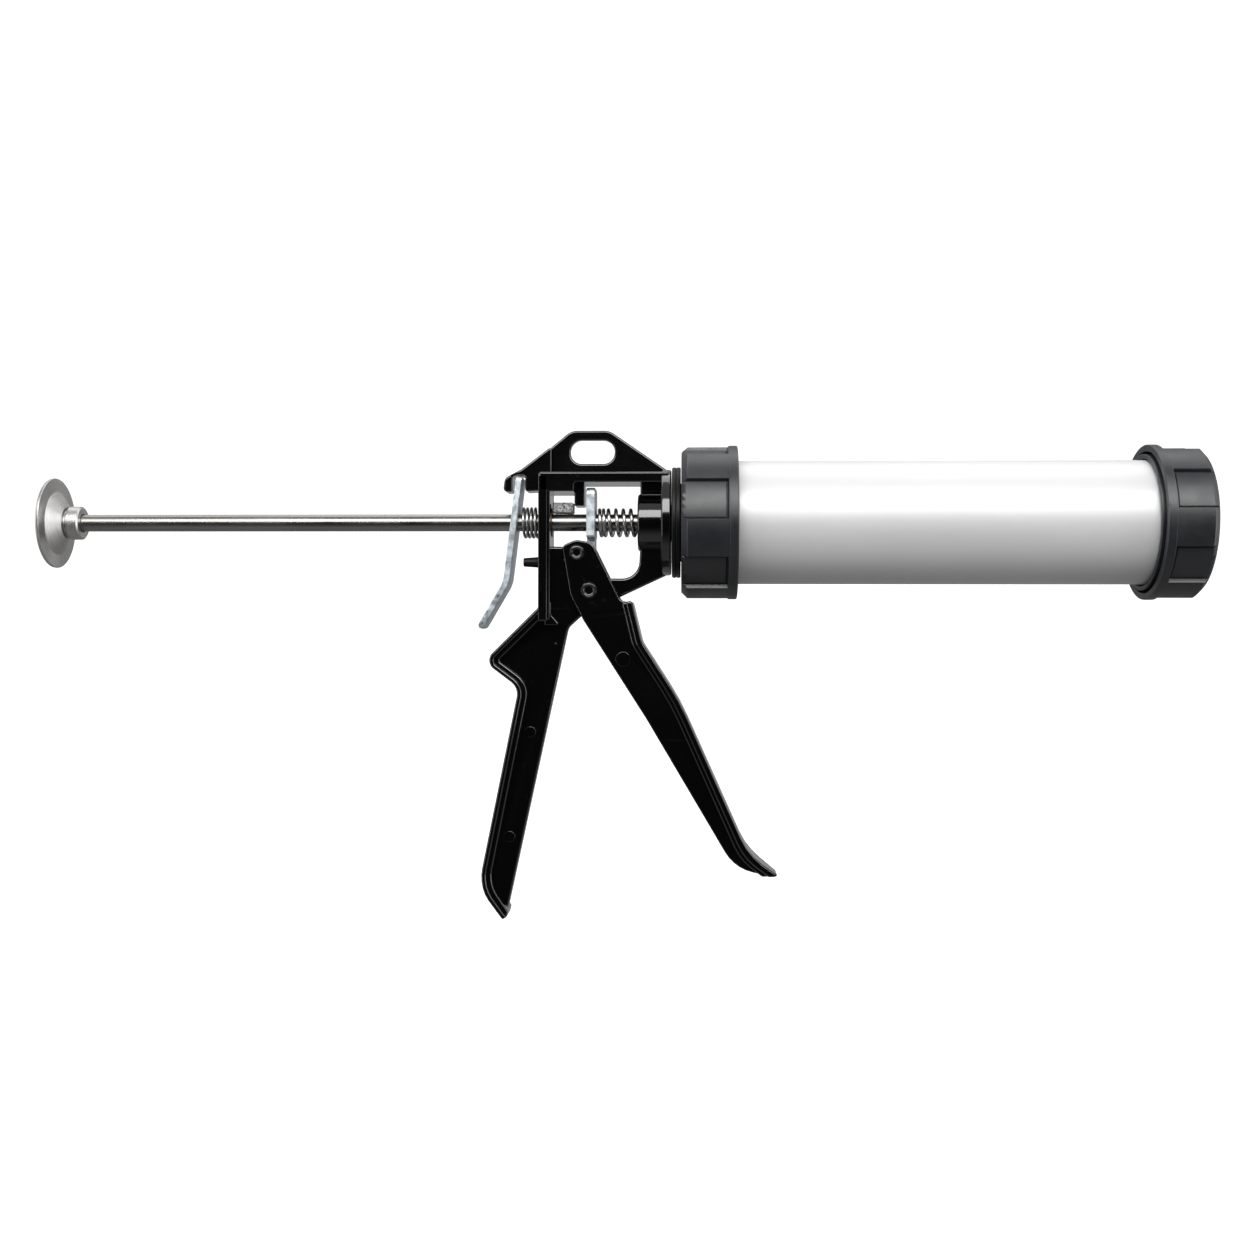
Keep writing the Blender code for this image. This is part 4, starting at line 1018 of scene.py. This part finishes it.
def cap_form(face, mouth, length, lip, floor_hole, phase, notch=None):
    """Screw cap whose end wall's outer face is at face and which opens towards mouth."""
    wall = bpy.context.scene.gun_sizes.grip_wall / MM
    shell_inner = CAP_RADIUS - GRIP_DEPTH - 1.0
    rim = length - CAP_RIM_LENGTH
    marks = [rim + wall * share for share in CAP_SAMPLES if share <= 0.5]
    corners = [
        (0.0, floor_hole, 0.5), (0.0, 23.0), (0.5, 23.4), (0.5, 24.4), (0.0, 24.8),
        (0.0, CAP_RADIUS - CAP_CHAMFER, 0.5), (1.0, CAP_RADIUS - 1.6), (CAP_CHAMFER, CAP_RADIUS, 0.8),
        (CAP_CHAMFER + 1.4, CAP_RADIUS), *[(mark, CAP_RADIUS) for mark in marks],
        (rim + 0.6, CAP_RADIUS + CAP_RIM, 0.4), (length - 1.3, CAP_RADIUS + CAP_RIM),
        (length, CAP_RADIUS + CAP_RIM, 0.6), (length, shell_inner, 0.5),
        (8.0, shell_inner, 0.8), (8.0, SLEEVE_OUTER, 0.8), (length + lip, SLEEVE_OUTER, 0.5),
        (length + lip, SLEEVE_INNER, 0.4), (CAP_WALL, SLEEVE_INNER, 0.3), (CAP_WALL, floor_hole, 0.5),
    ]
    angles = cap_angles(phase, wall, notch)
    form = Form()
    form.lathe([
        (Vector((face + mouth * point.x, point.y)), Vector((mouth * normal.x, normal.y)), edge)
        for point, normal, edge in rounded(corners, 0.25)
    ], turns=angles)
    for index, spot in enumerate(form.points):
        place = (spot.x - face) * mouth
        radius = math.hypot(spot.y, spot.z)
        angle = math.atan2(spot.z, -spot.y)
        if radius < CAP_RADIUS - GRIP_DEPTH - 0.6 or place > rim + 0.55:
            if notch is not None and radius > CAP_RADIUS and place > length - 1.2:
                depth = NOTCH_DEPTH * eased(1.6 - abs(angle - notch) / NOTCH_RUN)
                kept = 1 - depth / radius
                form.points[index] = Vector((spot.x, spot.y * kept, spot.z * kept))
            continue
        floor = CAP_RADIUS - panel_depth(place, angle, length, phase, wall)
        if floor >= radius - 1e-6:
            continue
        further = panel_depth(place + SLOPE_STEP, angle, length, phase, wall)
        slope = (further - CAP_RADIUS + floor) / SLOPE_STEP
        turned = panel_depth(place, angle + SLOPE_STEP / CAP_RADIUS, length, phase, wall)
        swing = (turned - CAP_RADIUS + floor) / SLOPE_STEP
        outward = Vector((0.0, -math.cos(angle), math.sin(angle)))
        around = Vector((0.0, math.sin(angle), math.cos(angle)))
        form.points[index] = Vector((spot.x, 0.0, 0.0)) + outward * floor
        form.normals[index] = (outward + Vector((mouth * slope, 0.0, 0.0)) + around * swing).normalized()
        # Panel walls count as edges, so the cap's lighter edge colour paints a highlight line along each
        # ledge.
        form.edges[index] = 1.0 if 0.02 < CAP_RADIUS - floor < 0.75 else 0.0
    return form


# Barrel tube


TUBE_WALL = 1.4
THREAD_PITCH, THREAD_LENGTH = 4.0, 14.0


def tube_form(rear, front, radius, wall, thread_rise):
    """Barrel tube with a rolled helical thread at each end."""

    def ridge(place, angle):
        near = min(place - rear, front - place)
        fade = eased((near - 1.0) / 1.5) * eased((THREAD_LENGTH - near) / 1.5)
        off = abs((place / THREAD_PITCH - angle / math.tau) % 1.0 - 0.5) * 2.0
        return thread_rise * fade * eased((0.62 - off) / 0.3)

    stops = [rear + 0.5 + 0.35 * number for number in range(41)]
    outer = [(place, radius) for place in stops + [rear + front - place for place in reversed(stops)]]
    corners = [(rear, radius - wall), (rear, radius), *outer, (front, radius), (front, radius - wall)]
    form = Form()
    form.lathe(rounded(corners, 0.25), 120)
    for index, spot in enumerate(form.points):
        if math.hypot(spot.y, spot.z) < radius - 1e-3:
            continue
        angle = math.atan2(spot.z, -spot.y)
        rise = ridge(spot.x, angle)
        slope = (ridge(spot.x + SLOPE_STEP, angle) - rise) / SLOPE_STEP
        swing = (ridge(spot.x, angle + SLOPE_STEP / radius) - rise) / SLOPE_STEP
        outward = Vector((0.0, -math.cos(angle), math.sin(angle)))
        around = Vector((0.0, math.sin(angle), math.cos(angle)))
        form.points[index] = Vector((spot.x, 0.0, 0.0)) + outward * (radius + rise)
        form.normals[index] = (outward - Vector((slope, 0.0, 0.0)) - around * swing).normalized()
    return form


# Guide shoe


def build_shoe(finish):
    """Pressed iron block on top of the rod, with rounded, slightly lumpy faces."""
    low, high = span("rod_guide_shoe")
    centre, half, corner = (low + high) / 2, (high - low) / 2, 0.7
    build = bmesh.new()
    bmesh.ops.create_cube(build, size=2.0)
    bmesh.ops.subdivide_edges(build, edges=build.edges, cuts=21, use_grid_fill=True)
    for vertex in build.verts:
        spot = Vector((vertex.co.x * half.x, vertex.co.y * half.y, vertex.co.z * half.z))
        core = Vector([max(corner - h, min(h - corner, s)) for s, h in zip(spot, half)])
        lean = (spot - core).normalized()
        lump = 0.16 * noise.fractal(spot * 1.1, 0.8, 2.0, 3)
        spot = core + lean * (corner + min(0.0, lump - 0.03)) + centre
        vertex.co = (spot.x * MM, spot.y * MM, spot.z * MM + AXIS)
    mesh = bpy.data.meshes.new("Guide_Shoe")
    build.to_mesh(mesh)
    build.free()
    mesh.shade_smooth()
    return stand_mesh("Guide_Shoe", mesh, finish, "rod_guide_shoe")


# What a user may change


class GunSizes(bpy.types.PropertyGroup):
    """Small sizes of the gun's finished pieces."""

    casting_edge: bpy.props.FloatProperty(
        name="Casting Edge", description="Radius of the casting's and the trigger's edges",
        default=0.9 * MM, min=0.2 * MM, max=1.0 * MM, unit="LENGTH", precision=4)
    handle_lip: bpy.props.FloatProperty(
        name="Handle Lip", description="Thickness of the handle flange's outer lip",
        default=2.1 * MM, min=1.6 * MM, max=3.2 * MM, unit="LENGTH", precision=4)
    trigger_lip: bpy.props.FloatProperty(
        name="Trigger Lip", description="Thickness of the trigger flange's outer lip",
        default=2.9 * MM, min=2.0 * MM, max=3.2 * MM, unit="LENGTH", precision=4)
    grip_wall: bpy.props.FloatProperty(
        name="Grip Wall", description="Run of the sloping walls around a cap's grip panels",
        default=0.5 * MM, min=0.3 * MM, max=1.0 * MM, unit="LENGTH", precision=4)
    thread_rise: bpy.props.FloatProperty(
        name="Thread Rise", description="Height of the tube's rolled thread",
        default=0.45 * MM, min=0.1 * MM, max=0.6 * MM, unit="LENGTH", precision=4)


def colour_property(name, description, default):
    """Colour that a user may change."""
    return bpy.props.FloatVectorProperty(
        name=name, description=description, default=default, min=0.0, max=1.0, subtype="COLOR")


class GunFinishes(bpy.types.PropertyGroup):
    """Colours of the gun's finishes."""

    paint: colour_property("Paint", "Casting and trigger", (0.0012, 0.0012, 0.0014))
    cap: colour_property("Cap Plastic", "Both screw caps", (0.0075, 0.0087, 0.0115))
    tube: colour_property("Tube", "Barrel tube", (0.74, 0.74, 0.745))
    rod: colour_property("Rod", "Push rod", (0.36, 0.35, 0.335))
    knob: colour_property("Knob", "Pull knob and collar", (0.62, 0.61, 0.6))
    zinc: colour_property("Zinc", "Catch lever and drive plate", (0.78, 0.85, 0.9))


class GunStudio(bpy.types.PropertyGroup):
    """Lights and camera of the studio."""

    key_power: bpy.props.FloatProperty(
        name="Key Light", description="Power of the large light in front and above",
        default=17.0, min=0.0, unit="POWER")
    top_power: bpy.props.FloatProperty(
        name="Top Light", description="Power of the light overhead, behind the gun",
        default=5.0, min=0.0, unit="POWER")
    side_power: bpy.props.FloatProperty(
        name="Side Lights", description="Power of the left light; the right one is larger and stronger",
        default=3.0, min=0.0, unit="POWER")
    room: bpy.props.FloatProperty(
        name="Room Light", description="Strength of the even light from the room",
        default=0.4, min=0.0, max=2.0)
    lens: bpy.props.FloatProperty(
        name="Lens", description="Focal length of the camera", default=41.91, min=10.0, unit="CAMERA")


# One operator for each piece, or group of like pieces


class GUN_OT_casting(bpy.types.Operator):
    """Add the frame casting with its handle, and the bush in its post"""

    bl_idname = "caulking_gun.casting"
    bl_label = "Frame Casting"

    def execute(self, context):
        stand_piece("Frame_Casting", casting_form(), black_paint(), "frame_casting")
        low, high = span("rod_bush")
        turned_piece("Rod_Bush", [
            (low.x, SLIDING_BORE), (low.x, high.z), (high.x, high.z), (high.x, SLIDING_BORE),
        ], oily_bronze(), "rod_bush", 64)
        return {"FINISHED"}


class GUN_OT_trigger(bpy.types.Operator):
    """Add the trigger, its pivot rivet, its push pin and the roller between its cheeks"""

    bl_idname = "caulking_gun.trigger"
    bl_label = "Trigger and Pins"

    def execute(self, context):
        stand_piece("Trigger", trigger_form(), black_paint(), "trigger")
        turned_piece("Pivot_Rivet", headed_pin_profile(2.6, 3.8), black_paint(),
                     "pivot_rivet", 64, PIVOT)
        turned_piece("Push_Pin", headed_pin_profile(2.2, 3.6), black_paint(),
                     "push_pin", 64, PUSH_PIN)
        roller = [(-4.5, 2.5), (-4.5, 3.5, 0.5), (4.5, 3.5, 0.5), (4.5, 2.5)]
        turned_piece("Push_Roller", roller, drawn_steel(), "push_roller", 48, PUSH_PIN)
        return {"FINISHED"}


class GUN_OT_drive_plate(bpy.types.Operator):
    """Add the plate that grips the rod when the trigger is squeezed"""

    bl_idname = "caulking_gun.drive_plate"
    bl_label = "Drive Plate"

    def execute(self, context):
        low, high = span("drive_plate")
        face = rounded([
            (-9.0, -6.9, 1.0), (-4.2, -6.9, 0.8), (-4.2, low.z, 1.0), (4.2, low.z, 1.0), (4.2, -6.9, 0.8),
            (9.0, -6.9, 1.0), (9.0, high.z, 3.0), (-9.0, high.z, 3.0),
        ], 0.6)
        form = Form()
        form.plate([face, round_hole((0.0, 0.0), SLIDING_BORE)], low.x, high.x, 0.5, "X")
        stand_piece("Drive_Plate", form, zinc_plating(), "drive_plate")
        return {"FINISHED"}


class GUN_OT_catch_lever(bpy.types.Operator):
    """Add the catch lever and the peg that stops it"""

    bl_idname = "caulking_gun.catch_lever"
    bl_label = "Catch Lever and Peg"

    def execute(self, context):
        build_lever(zinc_plating())
        low, high = span("lever_stop_peg")
        form = Form()
        form.lathe(rounded([
            (low.x, 0.0), (low.x, 1.9, 0.4), (POST_REAR - 0.4, 2.4), (POST_REAR - 0.4, 3.0, 0.2),
            (POST_REAR + 0.4, 3.0, 0.2), (POST_REAR + 0.4, 2.4), (high.x, 2.4), (high.x, 0.0),
        ], 0.2, closed=False), 40)
        lift = Vector((0.0, 0.0, (low.z + high.z) / 2))
        form.points = [spot + lift for spot in form.points]
        stand_piece("Lever_Stop_Peg", form, hub_coating(), "lever_stop_peg")
        return {"FINISHED"}


class GUN_OT_guide_shoe(bpy.types.Operator):
    """Add the rough guide shoe that lies on the rod in front of the post"""

    bl_idname = "caulking_gun.guide_shoe"
    bl_label = "Guide Shoe"

    def execute(self, context):
        build_shoe(sintered_iron())
        return {"FINISHED"}


class GUN_OT_springs(bpy.types.Operator):
    """Add the drive plate's return spring and the catch lever's spring"""

    bl_idname = "caulking_gun.springs"
    bl_label = "Springs"

    def execute(self, context):
        low, high = span("drive_spring")
        form = Form()
        form.wire(coil_centres(low.x, high.x, DRIVE_COIL, DRIVE_WIRE, 2.0, 4.0), DRIVE_WIRE)
        drive = stand_piece("Drive_Spring", form, spring_steel(), "drive_spring")
        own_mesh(drive)
        low, high = span("catch_spring")
        form = Form()
        form.wire(coil_centres(low.x, high.x, CATCH_COIL, CATCH_WIRE, 0.5, 3.5), CATCH_WIRE)
        catch = stand_piece("Catch_Spring", form, spring_steel(), "catch_spring")
        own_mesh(catch)
        return {"FINISHED"}


class GUN_OT_push_rod(bpy.types.Operator):
    """Add the push rod"""

    bl_idname = "caulking_gun.push_rod"
    bl_label = "Push Rod"

    def execute(self, context):
        low, high = span("push_rod")
        profile = [
            (low.x, 0.0), (low.x, high.z, 0.4), (high.x - 0.8, high.z), (high.x, high.z - 0.8), (high.x, 0.0),
        ]
        turned_piece("Push_Rod", profile, drawn_steel(), "push_rod", 72)
        return {"FINISHED"}


class GUN_OT_pull_knob(bpy.types.Operator):
    """Add the turned pull knob and the collar in front of it"""

    bl_idname = "caulking_gun.pull_knob"
    bl_label = "Pull Knob and Collar"

    def execute(self, context):
        low, high = span("pull_knob")
        collar_low, collar_high = span("knob_collar")
        edge, neck, bore = high.z, collar_high.z, FIXED_BORE
        disc = low.x + 1.8
        turned_piece("Pull_Knob", [
            (low.x, 0.0), (low.x, edge - 3.0, 0.4), (low.x + 0.25, edge - 2.7, 0.2),
            (low.x + 0.25, edge - 0.2, 0.6),
            (disc, edge, 0.35), (disc + 0.25, edge - 6.0, 0.8), (high.x - 0.9, neck - 0.1, 0.5),
            (high.x - 0.9, neck - 1.8, 0.2), (high.x, neck - 1.8, 0.2), (high.x, bore),
            (low.x + 0.7, bore), (low.x + 0.7, 0.0),
        ], turned_steel(), "pull_knob", 144)
        turned_piece("Knob_Collar", [
            (collar_low.x, bore), (collar_low.x, neck - 0.5, 0.2), (collar_low.x + 0.5, neck, 0.3),
            (collar_high.x - 1.5, neck, 0.2), (collar_high.x - 1.3, neck - 0.15, 0.1),
            (collar_high.x - 1.1, neck, 0.1), (collar_high.x - 0.7, neck, 0.2),
            (collar_high.x, neck - 0.8, 0.3), (collar_high.x, bore),
        ], turned_steel(), "knob_collar", 96)
        return {"FINISHED"}


class GUN_OT_piston(bpy.types.Operator):
    """Add the piston inside the barrel: two plates, the rubber cup between them and the nut"""

    bl_idname = "caulking_gun.piston"
    bl_label = "Piston"

    def execute(self, context):
        bore = FIXED_BORE
        for name, dish in (("Piston_Rear_Plate", 0.5), ("Piston_Front_Plate", -0.5)):
            node = name.lower()
            low, high = span(node)
            face, back = (low.x, high.x) if dish > 0.0 else (high.x, low.x)
            turned_piece(name, [
                (face, bore), (face, 9.0), (face + dish, 10.0), (face + dish, high.z - 3.0),
                (face, high.z - 2.0), (face, high.z, 0.5), (back, high.z, 0.5), (back, bore),
            ], zinc_plating(), node)
        low, high = span("piston_seal")
        turned_piece("Piston_Cup", [
            (low.x, bore), (low.x, high.z - 2.2, 0.5), (low.x + 1.2, high.z, 0.4), (low.x + 2.6, high.z, 0.4),
            (low.x + 3.2, high.z - 1.0, 0.4), (high.x - 3.2, high.z - 1.0, 0.4), (high.x - 2.6, high.z, 0.4),
            (high.x - 1.2, high.z, 0.4), (high.x, high.z - 2.2, 0.5), (high.x, bore),
        ], seal_rubber(), "piston_seal", 120)
        low, high = span("piston_nut")
        flats = 13.0 / math.sqrt(3.0)
        hexagon = [
            (flats * math.cos(math.radians(60.0 * side)), flats * math.sin(math.radians(60.0 * side)), 0.8)
            for side in range(6)
        ]
        form = Form()
        form.plate([rounded(hexagon, 0.8), round_hole((0.0, 0.0), bore)], low.x, high.x, 0.6, "X")
        stand_piece("Piston_Nut", form, zinc_plating(), "piston_nut")
        return {"FINISHED"}


HUB_NECK, RING_SEAT = 17.0, 15.8          # radii of the hub in the cap and under its ring


class GUN_OT_hub(bpy.types.Operator):
    """Add the barrel hub and the ring that keeps the rear cap on it"""

    bl_idname = "caulking_gun.hub"
    bl_label = "Barrel Hub and Ring"

    def execute(self, context):
        low, high = span("barrel_hub")
        ring_low, ring_high = span("hub_retaining_ring")
        turned_piece("Barrel_Hub", [
            (low.x, SLIDING_BORE), (low.x, 8.0), (34.9, 8.0), (34.9, high.z, 0.7), (36.5, high.z, 0.2),
            (36.8, high.z - 0.35, 0.2), (37.1, high.z, 0.2), (38.7, high.z, 0.5), (38.7, HUB_NECK, 0.4),
            (ring_low.x - 0.3, HUB_NECK, 0.2), (ring_low.x - 0.3, RING_SEAT, 0.2),
            (ring_high.x + 0.3, RING_SEAT, 0.2), (ring_high.x + 0.3, HUB_NECK, 0.2),
            (high.x, HUB_NECK, 0.4), (high.x, SLIDING_BORE, 0.5),
        ], hub_coating(), "barrel_hub", 128)
        inner = RING_SEAT + 0.3
        turned_piece("Hub_Retaining_Ring", [
            (ring_low.x, inner), (ring_low.x, ring_high.z, 0.5),
            (ring_high.x, ring_high.z, 0.5), (ring_high.x, inner),
        ], spring_steel(), "hub_retaining_ring", 96)
        return {"FINISHED"}


class GUN_OT_screw_caps(bpy.types.Operator):
    """Add the two screw caps with their recessed grip panels"""

    bl_idname = "caulking_gun.screw_caps"
    bl_label = "Screw Caps"

    def execute(self, context):
        rear_low, _ = span("rear_cap")
        rear = cap_form(rear_low.x, 1.0, REAR_CAP_LENGTH, REAR_LIP, REAR_FLOOR_HOLE, REAR_GRIP_PHASE)
        stand_piece("Rear_Cap", rear, cap_plastic(), "rear_cap")
        _, front_high = span("front_cap")
        front = cap_form(front_high.x, -1.0, FRONT_CAP_LENGTH, FRONT_LIP, FRONT_FLOOR_HOLE,
                         FRONT_GRIP_PHASE, FRONT_NOTCH)
        stand_piece("Front_Cap", front, cap_plastic(), "front_cap")
        return {"FINISHED"}


class GUN_OT_barrel_tube(bpy.types.Operator):
    """Add the barrel tube with the thread at each of its ends"""

    bl_idname = "caulking_gun.barrel_tube"
    bl_label = "Barrel Tube"

    def execute(self, context):
        low, high = span("barrel_tube")
        rise = context.scene.gun_sizes.thread_rise / MM
        form = tube_form(low.x, high.x, high.z, TUBE_WALL, rise)
        stand_piece("Barrel_Tube", form, satin_aluminium(), "barrel_tube")
        return {"FINISHED"}


class GUN_OT_seals(bpy.types.Operator):
    """Add the rear gasket and the front seal"""

    bl_idname = "caulking_gun.seals"
    bl_label = "Seals"

    def execute(self, context):
        for name, node, inner in (("Rear_Gasket", "rear_gasket", 21.3), ("Front_Seal", "front_seal", 22.5)):
            low, high = span(node)
            turned_piece(name, [
                (low.x, inner, 0.4), (low.x, high.z, 0.4), (high.x, high.z, 0.4), (high.x, inner, 0.4),
            ], seal_rubber(), node, 96)
        return {"FINISHED"}


# Studio


def area_light(name, place, target, size, power, colour=(1.0, 1.0, 1.0)):
    """Soft rectangular light at a place, turned to a target, in metres."""
    lamp = bpy.data.lights.new(name, "AREA")
    lamp.shape = "RECTANGLE"
    lamp.size, lamp.size_y = size
    lamp.energy = power
    lamp.color = colour
    light = bpy.data.objects.new(name, lamp)
    light.location = place
    light.rotation_euler = (Vector(target) - Vector(place)).to_track_quat("-Z", "Y").to_euler()
    bpy.context.scene.collection.objects.link(light)
    return light


class GUN_OT_studio(bpy.types.Operator):
    """Add the pale floor, the white room, the soft lights and the camera"""

    bl_idname = "caulking_gun.studio"
    bl_label = "Studio"

    def execute(self, context):
        scene, studio = context.scene, context.scene.gun_studio
        self.add_floor()
        self.add_room(scene, studio.room)
        middle = (0.02, 0.0, -0.05)
        area_light("Key Light", (0.05, -0.98, 0.62), middle, (1.7, 0.62), studio.key_power)
        area_light("Top Light", (0.05, 0.35, 0.95), middle, (1.8, 0.6), studio.top_power)
        area_light("Left Light", (-1.05, -0.6, 0.1), middle, (0.15, 1.4), studio.side_power)
        area_light("Right Light", (1.35, -0.2, 0.1), middle, (0.9, 1.3), 2.2 * studio.side_power)
        self.add_camera(scene, studio.lens)
        scene.view_settings.view_transform = "Standard"
        return {"FINISHED"}

    def add_floor(self):
        """Pale floor that sweeps up behind the gun."""
        reach, back, bend, top, level = 4.0, 2.0, 0.8, 3.0, -0.47
        side = [(-4.0, level), (back - bend, level)]
        for number in range(1, 13):
            angle = math.pi / 2 * number / 12
            side.append((back - bend + bend * math.sin(angle), level + bend - bend * math.cos(angle)))
        side.append((back, top))
        build = bmesh.new()
        rows = [[build.verts.new((x, y, z)) for y, z in side] for x in (-reach, reach)]
        for index in range(len(side) - 1):
            build.faces.new((rows[0][index], rows[1][index], rows[1][index + 1], rows[0][index + 1]))
        mesh = bpy.data.meshes.new("Floor")
        build.to_mesh(mesh)
        build.free()
        mesh.shade_smooth()
        floor = bpy.data.objects.new("Floor", mesh)
        bpy.context.scene.collection.objects.link(floor)
        finish = Finish("Pale Floor", 0.0, 0.2)
        finish.shader.inputs["Base Color"].default_value = (0.9, 0.9, 0.9, 1.0)
        finish.shader.inputs["Roughness"].default_value = 0.9
        finish.shader.inputs["Emission Color"].default_value = (1.0, 1.0, 1.0, 1.0)
        finish.shader.inputs["Emission Strength"].default_value = 0.85
        mesh.materials.append(finish.material)
        floor.visible_diffuse = False
        floor.visible_glossy = False

    def add_room(self, scene, strength):
        """White room: full white behind the gun, dimmer in reflections, darker below and in front."""
        world = scene.world or bpy.data.worlds.new("Room")
        scene.world = world
        world.use_nodes = True
        nodes, links = world.node_tree.nodes, world.node_tree.links
        nodes.clear()
        end = nodes.new("ShaderNodeOutputWorld")
        seen, lit = nodes.new("ShaderNodeBackground"), nodes.new("ShaderNodeBackground")
        seen.inputs["Color"].default_value = (1.0, 1.0, 1.0, 1.0)
        way = nodes.new("ShaderNodeTexCoord").outputs["Generated"]
        parts = nodes.new("ShaderNodeSeparateXYZ")
        links.new(way, parts.inputs["Vector"])
        height = nodes.new("ShaderNodeMapRange")
        for label, number in (("From Min", -0.6), ("From Max", 0.6), ("To Min", 0.55), ("To Max", 1.0)):
            height.inputs[label].default_value = number
        links.new(parts.outputs["Z"], height.inputs["Value"])
        front = nodes.new("ShaderNodeMapRange")
        front.interpolation_type = "SMOOTHSTEP"
        for label, number in (("From Min", -0.98), ("From Max", -0.5), ("To Min", 0.04), ("To Max", 1.0)):
            front.inputs[label].default_value = number
        links.new(parts.outputs["Y"], front.inputs["Value"])
        links.new(maths(nodes, links, "MULTIPLY", height.outputs["Result"], front.outputs["Result"]),
                  lit.inputs["Color"])
        lit.inputs["Strength"].default_value = strength
        path = nodes.new("ShaderNodeLightPath")
        pick = nodes.new("ShaderNodeMixShader")
        links.new(path.outputs["Is Camera Ray"], pick.inputs["Fac"])
        links.new(lit.outputs["Background"], pick.inputs[1])
        links.new(seen.outputs["Background"], pick.inputs[2])
        links.new(pick.outputs["Shader"], end.inputs["Surface"])

    def add_camera(self, scene, lens):
        """Camera square on to the gun, a little to the right of its middle."""
        away, swing, roll = 0.6424, math.radians(2.3), math.radians(0.126)
        data = bpy.data.cameras.new("Camera")
        data.lens, data.sensor_width = lens, 36.0
        camera = bpy.data.objects.new("Camera", data)
        camera.location = (0.0152 + away * math.sin(swing), -away * math.cos(swing), AXIS - 0.04583)
        camera.rotation_euler = (math.pi / 2, 0.0, swing)
        camera.rotation_euler.rotate_axis("Z", roll)
        scene.collection.objects.link(camera)
        scene.camera = camera


PIECE_OPERATORS = (
    GUN_OT_casting, GUN_OT_trigger, GUN_OT_drive_plate, GUN_OT_catch_lever, GUN_OT_guide_shoe,
    GUN_OT_springs, GUN_OT_push_rod, GUN_OT_pull_knob, GUN_OT_piston, GUN_OT_hub,
    GUN_OT_screw_caps, GUN_OT_barrel_tube, GUN_OT_seals, GUN_OT_studio,
)


class GUN_PT_pieces(bpy.types.Panel):
    """Lists the gun's pieces, its sizes and its colours"""

    bl_label = "Caulking Gun"
    bl_idname = "GUN_PT_pieces"
    bl_space_type = "VIEW_3D"
    bl_region_type = "UI"
    bl_category = "Caulking Gun"

    def draw(self, context):
        for operator in PIECE_OPERATORS:
            self.layout.operator(operator.bl_idname)
        for group in (context.scene.gun_sizes, context.scene.gun_finishes, context.scene.gun_studio):
            box = self.layout.box()
            for label in group.__annotations__:
                box.prop(group, label)


CLASSES = (GunSizes, GunFinishes, GunStudio, *PIECE_OPERATORS, GUN_PT_pieces)


def register():
    for item in CLASSES:
        bpy.utils.register_class(item)
    bpy.types.Scene.gun_sizes = bpy.props.PointerProperty(type=GunSizes)
    bpy.types.Scene.gun_finishes = bpy.props.PointerProperty(type=GunFinishes)
    bpy.types.Scene.gun_studio = bpy.props.PointerProperty(type=GunStudio)


def unregister():
    for label in ("gun_sizes", "gun_finishes", "gun_studio"):
        delattr(bpy.types.Scene, label)
    for item in reversed(CLASSES):
        bpy.utils.unregister_class(item)


def main():
    """Builds every piece and the studio."""
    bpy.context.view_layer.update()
    register()
    ops = bpy.ops.caulking_gun
    ops.casting()
    ops.trigger()
    ops.drive_plate()
    ops.catch_lever()
    ops.guide_shoe()
    ops.springs()
    ops.push_rod()
    ops.pull_knob()
    ops.piston()
    ops.hub()
    ops.screw_caps()
    ops.barrel_tube()
    ops.seals()
    ops.studio()


if __name__ == "__main__":
    main()
